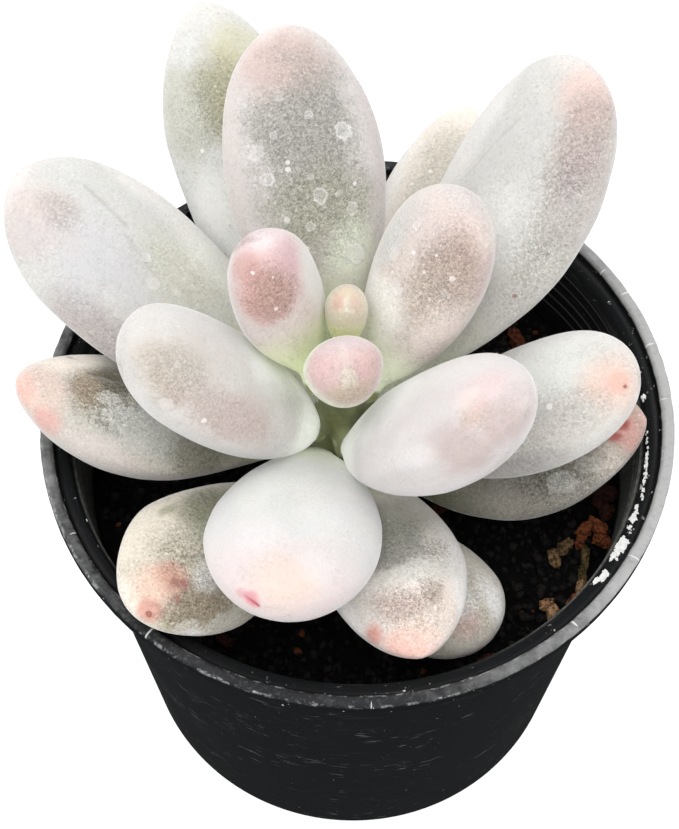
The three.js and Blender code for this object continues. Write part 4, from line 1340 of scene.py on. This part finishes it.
def bark_finish():
    """Bark coloured by each chip's tone, with dark splits."""
    material, board = new_material("orange_bark")
    place = board.object_place()
    tone = board.attribute(TONE, "Fac")
    fine = board.noise(place, 1.8, 4.0, 0.7)
    colour = board.mix(board.ramp(tone, 0.1, 0.55), "43211a", "a05a32")
    colour = board.mix(board.ramp(tone, 0.6, 1.0), colour, "cfa47a")
    colour = board.mix(board.ramp(tone, 1.1, 1.7), colour, "6b5c38")
    colour = board.mix(board.ramp(fine, 0.44, 0.6) * 0.8, colour, "1c0f0a")
    surface(board, fine, 0.6, base_color=colour, roughness=0.75, specular_ior_level=0.25)
    return material


def make_shoulder_flakes():
    """White flakes on the pot's inner shoulder, just under its lip."""
    draw = random.Random(SEED)
    inner = SHOULDER["inner"]
    gentle = SHOULDER["rise"] / (SHOULDER["outer"] - inner)
    shell = bmesh.new()
    for turn, radius, spread, drift, largest, count in SHOULDER_FLAKES:
        for _ in range(count):
            angle = math.radians(turn + draw.gauss(0, spread))
            reach = radius + draw.gauss(0, drift)
            slope = SHOULDER["wall"] if reach < inner else gentle
            size = draw.uniform(FLAKE["smallest"], largest)
            place = Matrix.Rotation(angle, 4, "Z")
            place = place @ Matrix.Translation((reach, 0, SHOULDER["low"] + (reach - inner) * slope))
            place = place @ Matrix.Rotation(-math.atan(slope), 4, "Y")
            wide, long = size * draw.uniform(*FLAKE["wide"]), size * draw.uniform(*FLAKE["long"])
            flat = Matrix.Diagonal((wide, long, FLAKE["thick"], 1))
            seed = Vector((draw.uniform(0, 50), 0, 0))
            for vertex in bmesh.ops.create_icosphere(shell, subdivisions=2, radius=0.5)["verts"]:
                rough = 1 + FLAKE["rough"] * noise.noise(vertex.co * 3 + seed)
                vertex.co = place @ flat @ (vertex.co * rough)
    mesh = shell_mesh("lime_flakes", shell)
    mesh.transform(TO_METRES)
    mesh.materials.append(crumb_finish("lime", "d5d5d3", "f4f4f2", 0.0))
    return add_piece("lime_flakes", mesh, "potting_mix")


# The stem
def make_stem():
    """A fleshy stem, a little fuller under each leaf, with the round mark of a dropped leaf."""
    sides, count = STEM_DETAIL["sides"], STEM_DETAIL["rings"]
    rings, pale = [], []
    for index in range(count):
        z = STEM["foot"] + (STEM["top"] - STEM["cap"] - STEM["foot"]) * index / (count - 1)
        centre, radius = stem_at(z)
        closing = min((STEM["top"] - z) / STEM["closing"], 1) ** 0.5
        ring = []
        for x, y, _ in circle(0, 0, z, 1, sides):
            spot = Vector((x * STEM["lumps_round"], y * STEM["lumps_round"], z * STEM["lumps_up"]))
            reach = radius * closing * (1 + STEM["uneven"] * noise.noise(spot))
            seat = sum(leaf_seat_bulge(form, x, y, z) for form in LEAVES.values() if "seat" in form)
            reach += min(seat, SEAT["most"]) + scar_ridge(x, y, z)
            ring.append((centre.x + x * reach, centre.y + y * reach, z))
            pale.append(min(seat / SEAT["bulge"] + scar_ridge(x, y, z) * 2, 1))
        rings.append(ring)
    top = stem_at(STEM["top"])[0]
    mesh = ringed_mesh("stem_form", rings, (STEM["x"], STEM["y"], STEM["foot"]), tuple(top))
    mesh.attributes.new(TONE, "FLOAT", "POINT").data.foreach_set("value", [*pale, 0.0, 1.0])
    mesh.materials.append(stem_skin())
    return add_piece("green_stem", mesh, "stem_skin", "stem")


def leaf_seat_bulge(form, x, y, z):
    """How far the stem stands out towards the foot of a leaf."""
    seat = math.radians(form["seat"])
    facing = x * math.cos(seat) + y * math.sin(seat)
    if facing < 0 or abs(z - form["on"]) > SEAT["reach"]:
        return 0
    return SEAT["bulge"] * facing ** SEAT["narrow"] * math.exp(-((z - form["on"]) / SEAT["tall"]) ** 2)


def scar_ridge(x, y, z):
    """The crescent ridge left by a leaf that has dropped off."""
    across = (math.atan2(y, x) - math.radians(SCAR["turn"])) * STEM["thick"]
    away = math.hypot(across, z - SCAR["height"])
    if z > SCAR["height"] or away > SCAR["reach"]:
        return 0
    return SCAR["ridge"] * math.exp(-(((away - SCAR["radius"]) / SCAR["width"]) ** 2))


def stem_skin():
    """Green skin, pale at the leaves' feet and the scar, and brown where it goes into the mix."""
    material, board = new_material("green_stem_skin")
    place = board.object_place()
    cloud = board.noise(place, 0.4, 3.0)
    fine = board.noise(place, 2.6, 3.0, 0.6)
    _, _, z = board.parts(place)
    colour = board.mix(board.ramp(cloud, 0.35, 0.65), "585c3a", "74784f")
    colour = board.mix(board.attribute(TONE, "Fac") * 0.9, colour, "b9bd9e")
    colour = board.mix(board.ramp(z, STEM["soil"] + 6, STEM["soil"]), colour, "7b7458")
    colour = board.mix(board.ramp(fine, 0.6, 0.75) * 0.4, colour, "6b6d47")
    surface(
        board, fine, 0.12, base_color=colour, roughness=0.55, subsurface_weight=0.2,
        subsurface_radius=(0.7, 1.0, 0.4), subsurface_scale=1.5 * MM,
    )
    return material


# Floor, light and camera
def make_floor():
    """A plain white floor, kept out of reflections so that the black pot stays black."""
    mesh = bpy.data.meshes.new("floor")
    half = FLOOR["half"] * MM
    corners = [(-half, -half, 0), (half, -half, 0), (half, half, 0), (-half, half, 0)]
    mesh.from_pydata(corners, [], [(0, 1, 2, 3)])
    material, board = new_material("white_floor")
    surface(
        board, base_color=srgb(FLOOR["tint"]), roughness=0.9,
        emission_color=srgb("ffffff"), emission_strength=FLOOR["glow"],
    )
    mesh.materials.append(material)
    floor = linked("floor", mesh)
    floor.visible_glossy = False


def add_light(name, place, size, power):
    """A round soft light that points at the plant; its place and size are in metres."""
    data = bpy.data.lights.new(name, "AREA")
    data.shape, data.size, data.energy = "DISK", size, power
    light = linked(name, data)
    light.location = place
    light.rotation_euler = (Vector(LIGHT_AIM) - Vector(place)).to_track_quat("-Z", "Y").to_euler()


def light_scene():
    """An even white sky, dim below the horizon, with soft lights over the plant."""
    world = bpy.data.worlds.new("studio")
    world.use_nodes = True
    world.node_tree.nodes.clear()
    board = Board(world.node_tree)
    _, _, up = board.parts(board.add("ShaderNodeTexCoord", None, None, "Generated"))
    strength = board.ramp(up, *HORIZON) * (WORLD_LIGHT - UNDER_LIGHT) + UNDER_LIGHT
    sky = board.add("ShaderNodeBackground", None, {"Color": (1, 1, 1, 1), "Strength": strength})
    board.add("ShaderNodeOutputWorld", None, {"Surface": sky})
    bpy.context.scene.world = world
    for name, place, size, power in LIGHTS:
        add_light(name, place, size, power)
    bpy.context.scene.view_settings.view_transform = "Standard"


def place_camera():
    """The photograph's view: a pinhole that looks down on the plant from the front."""
    data = bpy.data.cameras.new("camera")
    data.sensor_width = CAMERA["sensor"]
    data.lens = CAMERA["focal_pixels"] * data.sensor_width / PICTURE[1]
    yaw, pitch, roll = (math.radians(CAMERA[name]) for name in ("yaw", "down", "roll"))
    right = Vector((math.cos(yaw), math.sin(yaw), 0))
    ahead = Vector((-math.sin(yaw), math.cos(yaw), 0))
    sight = ahead * math.cos(pitch) - Vector((0, 0, math.sin(pitch)))
    above = ahead * math.sin(pitch) + Vector((0, 0, math.cos(pitch)))
    across = right * math.cos(roll) + above * math.sin(roll)
    upward = above * math.cos(roll) - right * math.sin(roll)
    camera = linked("camera", data)
    turned = Matrix((across, upward, -sight)).transposed().to_4x4()
    camera.matrix_world = Matrix.Translation(Vector(CAMERA["place"]) * MM) @ turned
    bpy.context.scene.camera = camera


def main():
    make_floor()
    light_scene()
    place_camera()
    make_pot()
    make_stem()
    tree = leaf_tree()
    for seed, name in enumerate(LEAVES):
        make_leaf(tree, name, seed)
    make_mix_bed()
    scatter_crumbs()
    make_bark()
    make_shoulder_flakes()


main()
